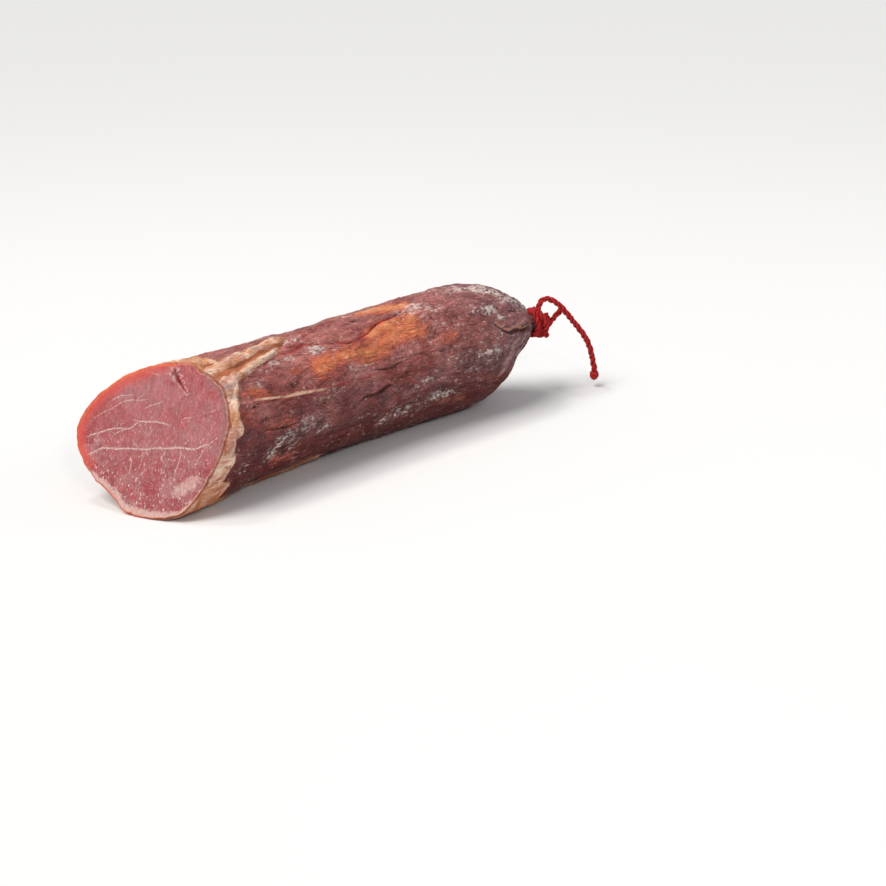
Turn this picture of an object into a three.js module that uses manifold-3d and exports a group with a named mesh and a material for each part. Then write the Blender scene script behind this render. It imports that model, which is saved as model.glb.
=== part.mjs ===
// A cut length of cured pork loin in its casing, its far end gathered and tied with red string.
// Millimetres, +Z up. +X runs from the cut end to the tied end, -Y is the side that shows.
// The loin lies on z = 0, and the origin is under the middle of the loin and its tie.

import * as THREE from 'three';
import { mergeVertices } from 'three/addons/utils/BufferGeometryUtils.js';
import Module from 'manifold-3d';

// Place of the middle of the cut, from the origin
const cutMiddle = new THREE.Vector3(-133.4, -2.4, 0);

// Loin: sizes along it start at the middle of the cut
const neckRootX = 271.4;
const domeStartX = 202.6;
const domeTipX = 274;
const domeSharpness = 2.8;
const domeFullness = 1.07;
const halfWidths = [39.1, 35.3, 30.6];
const halfHeights = [36.6, 36.4, 38.7];
const ovalSlant = -0.03;
const stationShares = [0, 0.35, 0.7];
const stationLow = -0.15;
const axisBow = 5;
const bowLow = -0.2;
const tieHeight = 44.4;
const tieOffset = -5;
const tieRise = 1.8;
const bodyRise = 0.4;
const restRound = 0.6;
// The underside sags on to the surface
const bellyDepth = 2.2;
const bellyAngle = THREE.MathUtils.degToRad(267);
const bellySpread = THREE.MathUtils.degToRad(24);
const bellyReach = [5, 60];

// The cut slants: it faces -X, turned towards -Y and leaning back
const cutTurn = THREE.MathUtils.degToRad(26.3);
const cutLean = THREE.MathUtils.degToRad(28.6);
const cutHeight = 38.8;
const cutBlendStart = -15;
const cutBlendEnd = 60;
// Radii of the cut every 22.5 degrees, from +Y up over the top
const cutRadii = [
  42.6, 41.2, 37.8, 36.1, 35.2, 34.6, 35.2, 37.0,
  38.0, 38.4, 38.6, 37.5, 34.9, 30.0, 31.7, 36.7,
];
const cutPasses = 14;
const cutStep = 0.8;

// Collar of fat and skin rolled back over the casing behind the cut
const collarHeight = 1.1;
const collarWidths = [9, 9, 10, 12, 15, 15, 10, 10, 12, 19, 24, 26, 20, 13, 10, 9];
const collarWaves = [
  { size: 1.2, around: 9, phase: 0.6 },
  { size: 0.72, around: 17, phase: 2.1 },
];
const collarEdge = 3;
const rimRound = 1.2;
// Fat that sags on to the surface under the cut end
const sagDepth = 4.5;
const sagAngle = THREE.MathUtils.degToRad(228);
const sagSpread = THREE.MathUtils.degToRad(20);
const sagEndX = 130;

// Long folds and creases: each follows stations of [x, degrees from +Y up over the top]
const longFolds = [
  { height: 1.7, width: 6, path: [[18, 96], [40, 98], [66, 94], [92, 86]] },
  { height: 1.5, width: 6, path: [[28, 112], [48, 109], [66, 103], [88, 98]] },
  { height: 1.9, width: 6, path: [[30, 132], [50, 124], [72, 115], [94, 106]] },
  { height: -1.3, width: 6, path: [[30, 122], [50, 116], [72, 108], [92, 101]] },
  { height: -1.2, width: 6, path: [[76, 99], [98, 112], [123, 120], [150, 108], [170, 103]] },
  { height: 1.1, width: 6, path: [[84, 108], [104, 121], [128, 128], [152, 116]] },
  { height: -1.2, width: 6, path: [[122, 183], [134, 175], [148, 169], [160, 166]] },
  { height: -1.0, width: 6, path: [[40, 196], [90, 206], [140, 209], [196, 204]] },
  { height: -1.5, width: 6, path: [[226, 143], [240, 154], [254, 158], [266, 156]] },
  { height: 1.4, width: 6, path: [[230, 168], [244, 172], [256, 170], [266, 165]] },
  { height: 1.5, width: 6, path: [[226, 222], [242, 208], [254, 192], [264, 180]] },
  { height: -5.2, width: 28, path: [[240, 238], [252, 224], [264, 210]] },
  { height: -1.3, width: 6, path: [[70, 30], [120, 24], [170, 32], [214, 26]] },
  { height: 1.2, width: 6, path: [[40, 52], [84, 60], [126, 50], [160, 56]] },
  { height: -1.2, width: 6, path: [[228, 60], [244, 72], [256, 84], [264, 90]] },
];
const foldFadeOut = 6;
const foldFadeIn = 8;

// Waves in the meat: height, waves round it, wave length along it
const swells = [
  { size: 0.3, around: 2, length: 195, phase: 0 },
  { size: 0.22, around: 3, length: -138, phase: 1.3 },
  { size: 0.18, around: 3, length: -300, phase: 2.0 },
  { size: 0.18, around: 7, length: 46, phase: 0.4 },
];
const swellStartX = 25;
// Folds die out where the loin is thinner than these radii
const foldRadii = [5, 18];
const pleatRadii = [5.4, 14];

// Pleats where the casing is drawn together, deepest near the neck
const pleatCount = 11;
const pleatDepth = 2.2;
const pleatMean = 0.6;
const pleatStartX = 224;
const pleatSpacing = { size: 0.12, around: 3, phase: 1 };

// Neck of gathered casing that the string is tied round, narrowing to its end
const neckRadius = 5.4;
const neckLength = 9;
const neckTaper = 1.6;
const neckTaperLength = 2.5;

// String
const stringDiameter = 3.9;
const touchGap = 0.4;
const windingTurns = 2.3;
const windingPitch = 4.0;
const windingStartX = 0.2;
const windingStartDegrees = 246;
const stringSides = 8;
// Hitch over the windings: stations of [x past the neck root, degrees round it, distance out]
const hitchRoute = [
  [7.0, 262, 8.6], [6.6, 238, 9.0], [6.0, 215, 9.9], [5.2, 188, 10.8],
  [4.2, 162, 11.0], [2.8, 142, 10.6], [1.6, 127, 10.5], [1.8, 122.4, 12.0],
];

// Route of the free tail, from the hitch to its own end knot
const tailRoute = [
  [273.3, -11.5, 55.4], [274.1, -11.8, 58.4], [276.1, -12.7, 60.8], [279.1, -14.1, 61.3],
  [282.7, -15.8, 59.3], [286.4, -17.6, 55.9], [290.0, -19.2, 51.6], [293.5, -20.8, 46.7],
  [297.1, -22.6, 41.7], [300.6, -24.2, 36.7], [303.6, -25.6, 31.2], [305.8, -26.6, 25.4],
  [307.2, -27.2, 19.6], [308.3, -27.7, 14.3], [308.8, -27.9, 12.0],
];
// Route of the short end, which passes behind the tail, and of the stub beside it
const shortEndRoute = [
  [277.0, -11.8, 40.4], [280.6, -12.6, 43.3], [284.2, -13.2, 46.3], [287.7, -14.0, 49.6],
  [291.0, -14.9, 52.4],
];
const stubRoute = [[277.2, -12.6, 39.8], [277.9, -13.9, 38.7], [278.5, -14.9, 37.7]];
const endKnotRadius = 3.0;
const endKnotLength = 1.15;

// Mesh steps
const stepsAround = 80;
const cutRings = [0.35, 0.7];
const stepsCollar = 7;
const stepsBody = 34;
const stepsDome = 16;
const tailSteps = 26;
const stepsPerTurn = 20;
const hitchSteps = 12;
const shortEndSteps = 6;
const stubSteps = 2;
const knotDetail = 2;
const weldDistance = 0.001;

const casingColour = 0x7a4a4a;
const casingRoughness = 0.5;
const stringColour = 0xb01f25;
const stringRoughness = 0.85;

const wasm = await Module();
wasm.setup();

const fullTurn = 2 * Math.PI;
const tieY = tieOffset;
const tieZ = tieHeight + bodyRise;

function smooth(low, high, value) {
  return THREE.MathUtils.smoothstep(value, low, high);
}

// Quadratic through three sizes at the three stations
function alongLoin(sizes, x) {
  const [u0, u1, u2] = stationShares;
  const u = THREE.MathUtils.clamp(x / neckRootX, stationLow, u2);
  const first = (sizes[0] * (u - u1) * (u - u2)) / ((u0 - u1) * (u0 - u2));
  const second = (sizes[1] * (u - u0) * (u - u2)) / ((u1 - u0) * (u1 - u2));
  const third = (sizes[2] * (u - u0) * (u - u1)) / ((u2 - u0) * (u2 - u1));
  return first + second + third;
}

// Closed smooth curve through values spaced evenly round the turn
function roundValue(values, angle) {
  const count = values.length;
  const turns = angle / fullTurn;
  const place = (turns - Math.floor(turns)) * count;
  const index = Math.floor(place) % count;
  const t = place - Math.floor(place);
  const before = values[(index + count - 1) % count];
  const here = values[index];
  const next = values[(index + 1) % count];
  const after = values[(index + 2) % count];
  const square = 2 * before - 5 * here + 4 * next - after;
  const cube = 3 * (here - next) + after - before;
  return here + 0.5 * t * (next - before + t * (square + t * cube));
}

// Degrees round the loin where a fold lies at x, a smooth curve through its stations
function foldDegrees(path, x) {
  const last = path.length - 1;
  const found = path.findIndex(([stationX]) => x < stationX);
  const index = found < 0 ? last - 1 : Math.max(found - 1, 0);
  const slope = (i) => {
    const [lowX, lowDegrees] = path[Math.max(i - 1, 0)];
    const [highX, highDegrees] = path[Math.min(i + 1, last)];
    return (highDegrees - lowDegrees) / (highX - lowX);
  };
  const [startX, startDegrees] = path[index];
  const [endX, endDegrees] = path[index + 1];
  const span = endX - startX;
  const t = THREE.MathUtils.clamp((x - startX) / span, 0, 1);
  const leaving = startDegrees * (1 + 2 * t) * (1 - t) ** 2 + slope(index) * span * t * (1 - t) ** 2;
  const arriving = endDegrees * t * t * (3 - 2 * t) + slope(index + 1) * span * t * t * (t - 1);
  return leaving + arriving;
}

// 0 where the tied end's dome begins, 1 at the root of the neck
function domeShare(x) {
  return THREE.MathUtils.clamp((x - domeStartX) / (neckRootX - domeStartX), 0, 1);
}

function domeProfile(x) {
  const share = THREE.MathUtils.clamp((x - domeStartX) / (domeTipX - domeStartX), 0, 1);
  return (1 - share ** domeSharpness) ** (1 / domeFullness);
}

// Middle of the loin's section at x: the axis bows and rises to the tie
function axisAt(x) {
  const half = alongLoin(halfHeights, x);
  const u = THREE.MathUtils.clamp(x / neckRootX, bowLow, 1);
  const bow = u < 0 ? u : u * (1 - u);
  const rise = domeShare(x) ** tieRise;
  const y = 4 * axisBow * bow + tieOffset * rise;
  const z = half + bodyRise + (tieHeight - half) * rise;
  return { y, z };
}

// Distance along X from the slanting cut to a point, positive inside the loin
function behindCut(x, y, z) {
  const lean = (Math.tan(cutLean) / Math.cos(cutTurn)) * (z - cutHeight);
  const turn = Math.tan(cutTurn) * y;
  return x - lean + turn;
}

function collarWidth(angle) {
  let width = roundValue(collarWidths, angle);
  for (const { size, around, phase } of collarWaves) {
    width += size * Math.sin(around * angle + phase);
  }
  return width;
}

// Uneven swell of the meat under the casing
function swell(x, angle) {
  let height = 0;
  for (const { size, around, length, phase } of swells) {
    height += size * Math.sin(around * angle + (fullTurn * x) / length + phase);
  }
  return height * smooth(0, swellStartX, x);
}

function foldRelief(x, angle, radius) {
  const degrees = THREE.MathUtils.radToDeg(angle);
  let relief = 0;
  for (const { height, width, path } of longFolds) {
    const first = path[0][0];
    const last = path[path.length - 1][0];
    const fadeIn = smooth(first - foldFadeOut, first + foldFadeIn, x);
    const fadeOut = 1 - smooth(last - foldFadeIn, last + foldFadeOut, x);
    const across = THREE.MathUtils.degToRad(degrees - foldDegrees(path, x)) * radius;
    relief += height * fadeIn * fadeOut * Math.exp(-((across / (width / 2)) ** 2));
  }
  return relief;
}

function sagRelief(x, angle) {
  const sagAcross = (angle - sagAngle) / sagSpread;
  const sag = sagDepth * Math.exp(-(sagAcross ** 2)) * (1 - smooth(0, sagEndX, x));
  const bellyAcross = (angle - bellyAngle) / bellySpread;
  const belly = bellyDepth * Math.exp(-(bellyAcross ** 2)) * smooth(...bellyReach, x);
  return sag + belly * domeProfile(x);
}

function pleatRelief(x, angle) {
  const reach = smooth(pleatStartX, neckRootX, x);
  const { size, around, phase } = pleatSpacing;
  const uneven = angle + size * Math.sin(around * angle + phase);
  const fold = Math.abs(Math.sin((pleatCount / 2) * uneven));
  return pleatDepth * reach * (fold - pleatMean);
}

function neckSize(x) {
  const neckEndX = neckRootX + neckLength;
  const taper = smooth(neckEndX - neckTaperLength, neckEndX, x);
  return x < domeStartX ? 0 : neckRadius - neckTaper * taper;
}

// Point on the loin's skin at x, at an angle from +Y up over the top
function skinPoint(x, angle) {
  const halfWidth = alongLoin(halfWidths, x);
  const halfHeight = alongLoin(halfHeights, x);
  const slant = 1 + ovalSlant * Math.sin(2 * angle);
  const oval = slant / Math.hypot(Math.cos(angle) / halfWidth, Math.sin(angle) / halfHeight);
  const blend = smooth(cutBlendStart, cutBlendEnd, x);
  const plain = THREE.MathUtils.lerp(roundValue(cutRadii, angle), oval, blend);
  const middle = axisAt(x);
  let radius = plain * domeProfile(x);
  const y = middle.y + radius * Math.cos(angle);
  const z = middle.z + radius * Math.sin(angle);
  const pastCollar = behindCut(x, y, z) - collarWidth(angle);
  radius += collarHeight * (1 - smooth(-collarEdge, 0, pastCollar));
  radius += sagRelief(x, angle);
  radius += smooth(...foldRadii, radius) * (foldRelief(x, angle, radius) + swell(x, angle));
  radius += smooth(...pleatRadii, radius) * pleatRelief(x, angle);
  radius = Math.max(radius, neckSize(x));
  const height = settled(middle.z + radius * Math.sin(angle));
  return new THREE.Vector3(x, middle.y + radius * Math.cos(angle), height);
}

// The underside lies flat on z = 0, with a rounded edge
function settled(z) {
  const near = Math.max(restRound - Math.abs(z), 0);
  return Math.max(z, 0) + (near * near) / (4 * restRound);
}

// Where the line along the loin at this angle meets the cut
function cutPoint(angle) {
  let x = 0;
  for (let pass = 0; pass < cutPasses; pass += 1) {
    const point = skinPoint(x, angle);
    x -= cutStep * behindCut(point.x, point.y, point.z);
  }
  return skinPoint(x, angle);
}

function ringOf(makePoint) {
  return Array.from({ length: stepsAround }, (_, i) => makePoint((fullTurn * i) / stepsAround));
}

// Closed skin over rings of equal count, both end rings closed to a middle point
function skinOverRings(rings, startMiddle, endMiddle) {
  const around = rings[0].length;
  const points = [...rings.flat(), startMiddle, endMiddle];
  const startIndex = points.length - 2;
  const endIndex = points.length - 1;
  const lastRing = (rings.length - 1) * around;
  const faces = [];
  for (let i = 0; i < around; i += 1) {
    const next = (i + 1) % around;
    for (let row = 0; row < lastRing; row += around) {
      const [a, b, c, d] = [row + i, row + next, row + around + i, row + around + next];
      faces.push(a, b, d, a, d, c);
    }
    faces.push(startIndex, next, i, endIndex, lastRing + i, lastRing + next);
  }
  const geometry = new THREE.BufferGeometry().setFromPoints(points);
  geometry.setIndex(faces);
  return geometry;
}

function makeLoin() {
  const cutCentre = new THREE.Vector3(0, 0, cutHeight);
  const cutEdge = ringOf(cutPoint);
  const inFrom = (share) => cutEdge.map((point) => cutCentre.clone().lerp(point, share));
  const rings = cutRings.map(inFrom);
  // the lip turns over from the flat cut to the skin
  const intoCut = (point) => point.clone().lerp(cutCentre, rimRound / point.distanceTo(cutCentre));
  rings.push(cutEdge.map(intoCut));
  const skinStart = (angle) => cutPoint(angle).x + rimRound;
  const collarEnd = (angle) => skinStart(angle) + collarWidth(angle);
  for (let step = 0; step < stepsCollar; step += 1) {
    const share = step / stepsCollar;
    rings.push(ringOf((angle) => {
      const x = THREE.MathUtils.lerp(skinStart(angle), collarEnd(angle), share);
      return skinPoint(x, angle);
    }));
  }
  for (let step = 0; step < stepsBody; step += 1) {
    const share = step / stepsBody;
    rings.push(ringOf((angle) => {
      const x = THREE.MathUtils.lerp(collarEnd(angle), domeStartX, share);
      return skinPoint(x, angle);
    }));
  }
  for (let step = 0; step <= stepsDome; step += 1) {
    const share = Math.sin((0.5 * Math.PI * step) / stepsDome);
    const x = THREE.MathUtils.lerp(domeStartX, neckRootX, share);
    rings.push(ringOf((angle) => skinPoint(x, angle)));
  }
  for (const before of [neckTaperLength, neckTaperLength / 2, 0]) {
    rings.push(ringOf((angle) => skinPoint(neckRootX + neckLength - before, angle)));
  }
  const neckMiddle = new THREE.Vector3(neckRootX + neckLength, tieY, tieZ);
  return skinOverRings(rings, cutCentre, neckMiddle);
}

function stringTube(route, steps) {
  const corners = Array.from({ length: stringSides }, (_, i) => {
    const angle = (fullTurn * i) / stringSides;
    return new THREE.Vector2(Math.cos(angle), Math.sin(angle)).multiplyScalar(stringDiameter / 2);
  });
  const section = new THREE.Shape(corners);
  const extrudePath = new THREE.CatmullRomCurve3(route);
  return new THREE.ExtrudeGeometry(section, { steps, bevelEnabled: false, extrudePath });
}

function toSolid(geometry) {
  const bare = geometry.clone();
  bare.deleteAttribute('normal');
  bare.deleteAttribute('uv');
  const merged = mergeVertices(bare, weldDistance);
  const vertProperties = new Float32Array(merged.attributes.position.array);
  const triVerts = new Uint32Array(merged.index.array);
  return new wasm.Manifold(new wasm.Mesh({ numProp: 3, vertProperties, triVerts }));
}

function toGeometry(solid) {
  const { vertProperties, triVerts } = solid.getMesh();
  const geometry = new THREE.BufferGeometry();
  geometry.setAttribute('position', new THREE.BufferAttribute(vertProperties, 3));
  geometry.setIndex(new THREE.BufferAttribute(triVerts, 1));
  return geometry;
}

function toVectors(route) {
  return route.map((point) => new THREE.Vector3(...point));
}

// Point round the neck, at a distance from its axis
function aroundNeck(x, degrees, distance) {
  const angle = THREE.MathUtils.degToRad(degrees);
  const y = tieY + distance * Math.cos(angle);
  return new THREE.Vector3(neckRootX + x, y, tieZ + distance * Math.sin(angle));
}

// Windings round the neck, the hitch that crosses them, and the short end
function makeTie() {
  const windingRadius = neckRadius + touchGap + stringDiameter / 2;
  const windingSteps = Math.round(stepsPerTurn * windingTurns);
  const winding = Array.from({ length: windingSteps + 1 }, (_, i) => {
    const turns = (windingTurns * i) / windingSteps;
    const degrees = windingStartDegrees - 360 * turns;
    return aroundNeck(windingStartX + windingPitch * turns, degrees, windingRadius);
  });
  const hitch = hitchRoute.map(([x, degrees, distance]) => aroundNeck(x, degrees, distance));
  const pieces = [
    stringTube(winding, windingSteps),
    stringTube(hitch, hitchSteps),
    stringTube(toVectors(shortEndRoute), shortEndSteps),
    stringTube(toVectors(stubRoute), stubSteps),
  ];
  const solid = pieces.map(toSolid).reduce((joined, piece) => joined.add(piece));
  return toGeometry(solid);
}

function makeTailKnot() {
  const geometry = new THREE.IcosahedronGeometry(endKnotRadius, knotDetail);
  geometry.scale(1, 1, endKnotLength);
  return geometry;
}

function addPart(name, geometry, color, roughness) {
  const material = new THREE.MeshStandardMaterial({ color, roughness, metalness: 0 });
  const mesh = new THREE.Mesh(geometry, material);
  mesh.name = name;
  placed.add(mesh);
  return mesh;
}

const placed = new THREE.Group();
placed.position.copy(cutMiddle);
addPart('loin', makeLoin(), casingColour, casingRoughness);
addPart('string_tie', makeTie(), stringColour, stringRoughness);
const tail = stringTube(toVectors(tailRoute), tailSteps);
addPart('string_tail', tail, stringColour, stringRoughness);
const [knotX, knotY, knotZ] = tailRoute[tailRoute.length - 1];
const tailKnot = addPart('string_tail_knot', makeTailKnot(), stringColour, stringRoughness);
tailKnot.position.set(knotX, knotY, knotZ - touchGap - endKnotRadius * endKnotLength);

const loinWithString = new THREE.Group();
loinWithString.add(placed);

export default loinWithString;
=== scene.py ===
import math
import bpy
import numpy as np
from mathutils import Matrix, Vector


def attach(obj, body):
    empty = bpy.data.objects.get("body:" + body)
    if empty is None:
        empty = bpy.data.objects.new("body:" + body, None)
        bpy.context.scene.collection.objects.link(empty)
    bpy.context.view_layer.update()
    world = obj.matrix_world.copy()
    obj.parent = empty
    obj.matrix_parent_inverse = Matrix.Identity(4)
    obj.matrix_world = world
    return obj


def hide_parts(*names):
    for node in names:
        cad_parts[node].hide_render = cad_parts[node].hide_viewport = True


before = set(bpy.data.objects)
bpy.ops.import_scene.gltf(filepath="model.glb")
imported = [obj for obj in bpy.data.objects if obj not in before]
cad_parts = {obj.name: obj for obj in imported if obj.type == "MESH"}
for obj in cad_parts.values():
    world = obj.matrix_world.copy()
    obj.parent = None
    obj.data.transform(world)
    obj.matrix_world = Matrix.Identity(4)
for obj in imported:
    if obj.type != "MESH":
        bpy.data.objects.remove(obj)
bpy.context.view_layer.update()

# Shapes are worked out in mm from the middle of the cut, x along the loin, then put in the frame in metres
cutMiddle = np.array([-133.4, -2.4, 0.0])
fullTurn = 2 * math.pi


def toFrame(points):
    return (np.asarray(points, float) + cutMiddle) / 1000


# The camera stands to the left in front of the cut and looks down a little
viewSettings = {
    "azimuth": -41.91, "elevation": 21.58, "distance": 1.0003,
    "lens": 65.87, "target": (0.0707, -0.0024, -0.01945),
}


def makeCamera(settings):
    turn, tilt = math.radians(settings["azimuth"]), math.radians(settings["elevation"])
    back = Vector((math.sin(turn) * math.cos(tilt), -math.cos(turn) * math.cos(tilt), math.sin(tilt)))
    right = Vector((math.cos(turn), math.sin(turn), 0))
    up = back.cross(right)
    camera = bpy.data.objects.new("camera", bpy.data.cameras.new("camera"))
    camera.data.lens = settings["lens"]
    camera.data.sensor_width = 36
    camera.data.clip_end = 50
    rotation = Matrix((right, up, back)).transposed().to_4x4()
    place = Matrix.Translation(Vector(settings["target"]) + back * settings["distance"])
    camera.matrix_world = place @ rotation
    bpy.context.collection.objects.link(camera)
    bpy.context.scene.camera = camera


makeCamera(viewSettings)
print("camera set")


# Short cuts for building materials; a new node goes into the tree of the sockets it is made from
def newMaterial(name):
    material = bpy.data.materials.new(name)
    material.use_nodes = True
    tree = material.node_tree
    tree.nodes.clear()
    output = tree.nodes.new("ShaderNodeOutputMaterial")
    shader = tree.nodes.new("ShaderNodeBsdfPrincipled")
    tree.links.new(shader.outputs["BSDF"], output.inputs["Surface"])
    return material, tree, shader


def plug(socket, value):
    if isinstance(value, bpy.types.NodeSocket):
        socket.id_data.links.new(value, socket)
    elif isinstance(value, tuple) and len(value) == 3 and len(socket.default_value) == 4:
        socket.default_value = (*value, 1)
    else:
        socket.default_value = value


def addNode(kind, *values):
    socket = next(value for value in values if isinstance(value, bpy.types.NodeSocket))
    return socket.id_data.nodes.new(kind)


def compute(operation, first, second=0.0, clamp=False):
    node = addNode("ShaderNodeMath", first, second)
    node.operation = operation
    node.use_clamp = clamp
    plug(node.inputs[0], first)
    plug(node.inputs[1], second)
    return node.outputs[0]


def times(first, *others, clamp=False):
    for other in others:
        first = compute("MULTIPLY", first, other, clamp)
    return first


def plus(first, second, clamp=False):
    return compute("ADD", first, second, clamp)


def minus(first, second):
    return compute("SUBTRACT", first, second)


def distant(first, second):
    return compute("ABSOLUTE", minus(first, second))


def remap(value, fromLow, fromHigh, toLow=0.0, toHigh=1.0, smooth=True):
    node = addNode("ShaderNodeMapRange", value)
    node.interpolation_type = "SMOOTHSTEP" if smooth else "LINEAR"
    for socket, number in zip(node.inputs[:5], (value, fromLow, fromHigh, toLow, toHigh)):
        plug(socket, number)
    return node.outputs[0]


def blend(share, first, second):
    node = addNode("ShaderNodeMix", share, first, second)
    node.data_type = "RGBA"
    plug(node.inputs[0], share)
    plug(node.inputs[6], first)
    plug(node.inputs[7], second)
    return node.outputs[2]


def scaled(colour, factor):
    node = addNode("ShaderNodeVectorMath", colour, factor)
    node.operation = "SCALE"
    plug(node.inputs[0], colour)
    plug(node.inputs["Scale"], factor)
    return node.outputs[0]


def creaseLines(value, middle, width):
    # thin lines where a noise passes through a value
    return remap(distant(value, middle), 0, width, 1, 0)


def strongest(masks):
    total = masks[0]
    for mask in masks[1:]:
        total = compute("MAXIMUM", total, mask)
    return total


def noise(vector, scale, detail=3.0, roughness=0.5, distortion=0.0, kind="Fac"):
    node = addNode("ShaderNodeTexNoise", vector)
    plug(node.inputs["Vector"], vector)
    named = {"Scale": scale, "Detail": detail, "Roughness": roughness, "Distortion": distortion}
    for name, number in named.items():
        node.inputs[name].default_value = number
    return node.outputs[kind]


def cells(vector, scale, feature="F1"):
    node = addNode("ShaderNodeTexVoronoi", vector)
    node.feature = feature
    plug(node.inputs["Vector"], vector)
    node.inputs["Scale"].default_value = scale
    return node.outputs["Distance"]


def stretched(vector, scale, rotation=(0, 0, 0), location=(0, 0, 0)):
    node = addNode("ShaderNodeMapping", vector)
    plug(node.inputs["Vector"], vector)
    node.inputs["Scale"].default_value = scale
    node.inputs["Rotation"].default_value = [math.radians(angle) for angle in rotation]
    node.inputs["Location"].default_value = location
    return node.outputs[0]


def parted(vector):
    node = addNode("ShaderNodeSeparateXYZ", vector)
    plug(node.inputs[0], vector)
    return node.outputs


def followCurve(value, spots):
    # a smooth curve through spots, both ways from 0 to 1
    node = addNode("ShaderNodeFloatCurve", value)
    line = node.mapping.curves[0]
    line.points[0].location, line.points[-1].location = spots[0], spots[-1]
    for spot in spots[1:-1]:
        line.points.new(*spot)
    node.mapping.update()
    plug(node.inputs["Value"], value)
    return node.outputs[0]


def readMask(tree, name, kind="Fac"):
    node = tree.nodes.new("ShaderNodeAttribute")
    node.attribute_name = name
    return node.outputs[kind]


def objectPlace(tree):
    return tree.nodes.new("ShaderNodeTexCoord").outputs["Object"]


def raised(shader, layers):
    # layers are (height in metres, strength), laid one over the other
    normal = None
    for height, depth in layers:
        node = addNode("ShaderNodeBump", height)
        node.inputs["Distance"].default_value = depth
        plug(node.inputs["Height"], height)
        if normal is not None:
            plug(node.inputs["Normal"], normal)
        normal = node.outputs[0]
    plug(shader.inputs["Normal"], normal)


def setSockets(shader, values):
    for name, value in values.items():
        shader.inputs[name].default_value = value


# Red cotton string: three plies twisted together
stringSettings = {
    "diameter": 0.0039,      # over the plies
    "plyDistance": 0.00098,  # middle of a ply from the middle of the string
    "twistLength": 0.0125,   # one full turn of a ply
    "ringStep": 0.0005,
    "sides": 30,
    "capDepth": 0.0011,      # how far a rounded end stands out
    "unevenStep": 0.0024,    # between thicker and thinner places
    "unevenness": 0.075,     # share of the radius
    "slip": 0.5,             # how far the twist runs ahead or behind
    "wobble": 0.00008,
    "grooveFrom": 0.0009, "grooveReach": 0.00105,
    "colour": (0.42, 0.008, 0.010),
    "grooveShadeColour": (0.110, 0.002, 0.003),
    "paleColour": (0.60, 0.052, 0.052),
}


def makeStringMaterial(settings):
    material, tree, shader = newMaterial("redCotton")
    place = objectPlace(tree)
    groove = readMask(tree, "groove")
    yarn = readMask(tree, "yarn", "Vector")
    fibre = noise(stretched(yarn, (1, 9, 1)), 3.0, 3, 0.6)
    patch = noise(place, 320, 3, 0.6)
    colour = blend(remap(fibre, 0.35, 0.7), settings["colour"], settings["paleColour"])
    colour = blend(remap(patch, 0.45, 0.75, 0, 0.6), colour, settings["colour"])
    # painted shade: darker in the grooves between the plies, where the groove mask is deep
    colour = blend(remap(groove, 0.25, 0.95, 0, 0.9), colour, settings["grooveShadeColour"])
    plug(shader.inputs["Base Color"], colour)
    plug(shader.inputs["Roughness"], remap(fibre, 0.2, 0.8, 0.72, 0.95))
    setSockets(shader, {
        "Sheen Weight": 0.06, "Sheen Roughness": 0.5, "Sheen Tint": (1, 0.45, 0.4, 1),
        "Specular IOR Level": 0.15,
    })
    raised(shader, [(fibre, 0.00025), (noise(place, 1500, 3, 0.7), 0.00015)])
    return material


stringMaterial = makeStringMaterial(stringSettings)


def smoothPath(points, step):
    # evenly spaced points on a centripetal curve through the given ones
    points = np.asarray(points, float)
    padded = np.vstack([2 * points[0] - points[1], points, 2 * points[-1] - points[-2]])
    pieces = []
    for i in range(1, len(padded) - 2):
        p0, p1, p2, p3 = padded[i - 1:i + 3]
        t = np.linspace(0, 1, 24, endpoint=False)[:, None]
        square, cube = 2 * p0 - 5 * p1 + 4 * p2 - p3, 3 * (p1 - p2) + p3 - p0
        pieces.append(p1 + 0.5 * t * (p2 - p0 + t * (square + t * cube)))
    dense = np.vstack(pieces + [points[-1:]])
    travelled = np.concatenate([[0], np.cumsum(np.linalg.norm(np.diff(dense, axis=0), axis=1))])
    count = max(int(round(travelled[-1] / step)), 2) + 1
    even = np.linspace(0, travelled[-1], count)
    return np.stack([np.interp(even, travelled, dense[:, k]) for k in range(3)], axis=1), even


def carriedAxes(path):
    along = np.gradient(path, axis=0)
    along /= np.linalg.norm(along, axis=1)[:, None]
    side = np.cross(along[0], [0.3, 0.9, 0.31])
    sides = []
    for direction in along:
        side = side - direction * side.dot(direction)
        side = side / np.linalg.norm(side)
        sides.append(side)
    sides = np.array(sides)
    return along, sides, np.cross(along, sides)


def makeObject(name, points, faces, material, smooth=True):
    mesh = bpy.data.meshes.new(name)
    mesh.from_pydata([tuple(p) for p in points], [], [tuple(f) for f in faces])
    mesh.materials.append(material)
    mesh.polygons.foreach_set("use_smooth", [smooth] * len(mesh.polygons))
    mesh.update()
    thing = bpy.data.objects.new(name, mesh)
    bpy.context.collection.objects.link(thing)
    return thing


def storeMask(mesh, name, values, kind="FLOAT", domain="POINT"):
    layer = mesh.attributes.new(name, kind, domain)
    field = "value" if kind == "FLOAT" else "vector"
    layer.data.foreach_set(field, np.asarray(values, np.float32).ravel())


def plyRadius(angle, settings):
    # outline of three round plies side by side
    outer, distance = settings["diameter"] / 2, settings["plyDistance"]
    ply = outer - distance
    away = (angle % (fullTurn / 3)) - fullTurn / 6
    reach = np.maximum(ply ** 2 - (distance * np.sin(away)) ** 2, 0)
    return distance * np.cos(away) + np.sqrt(reach)


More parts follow.
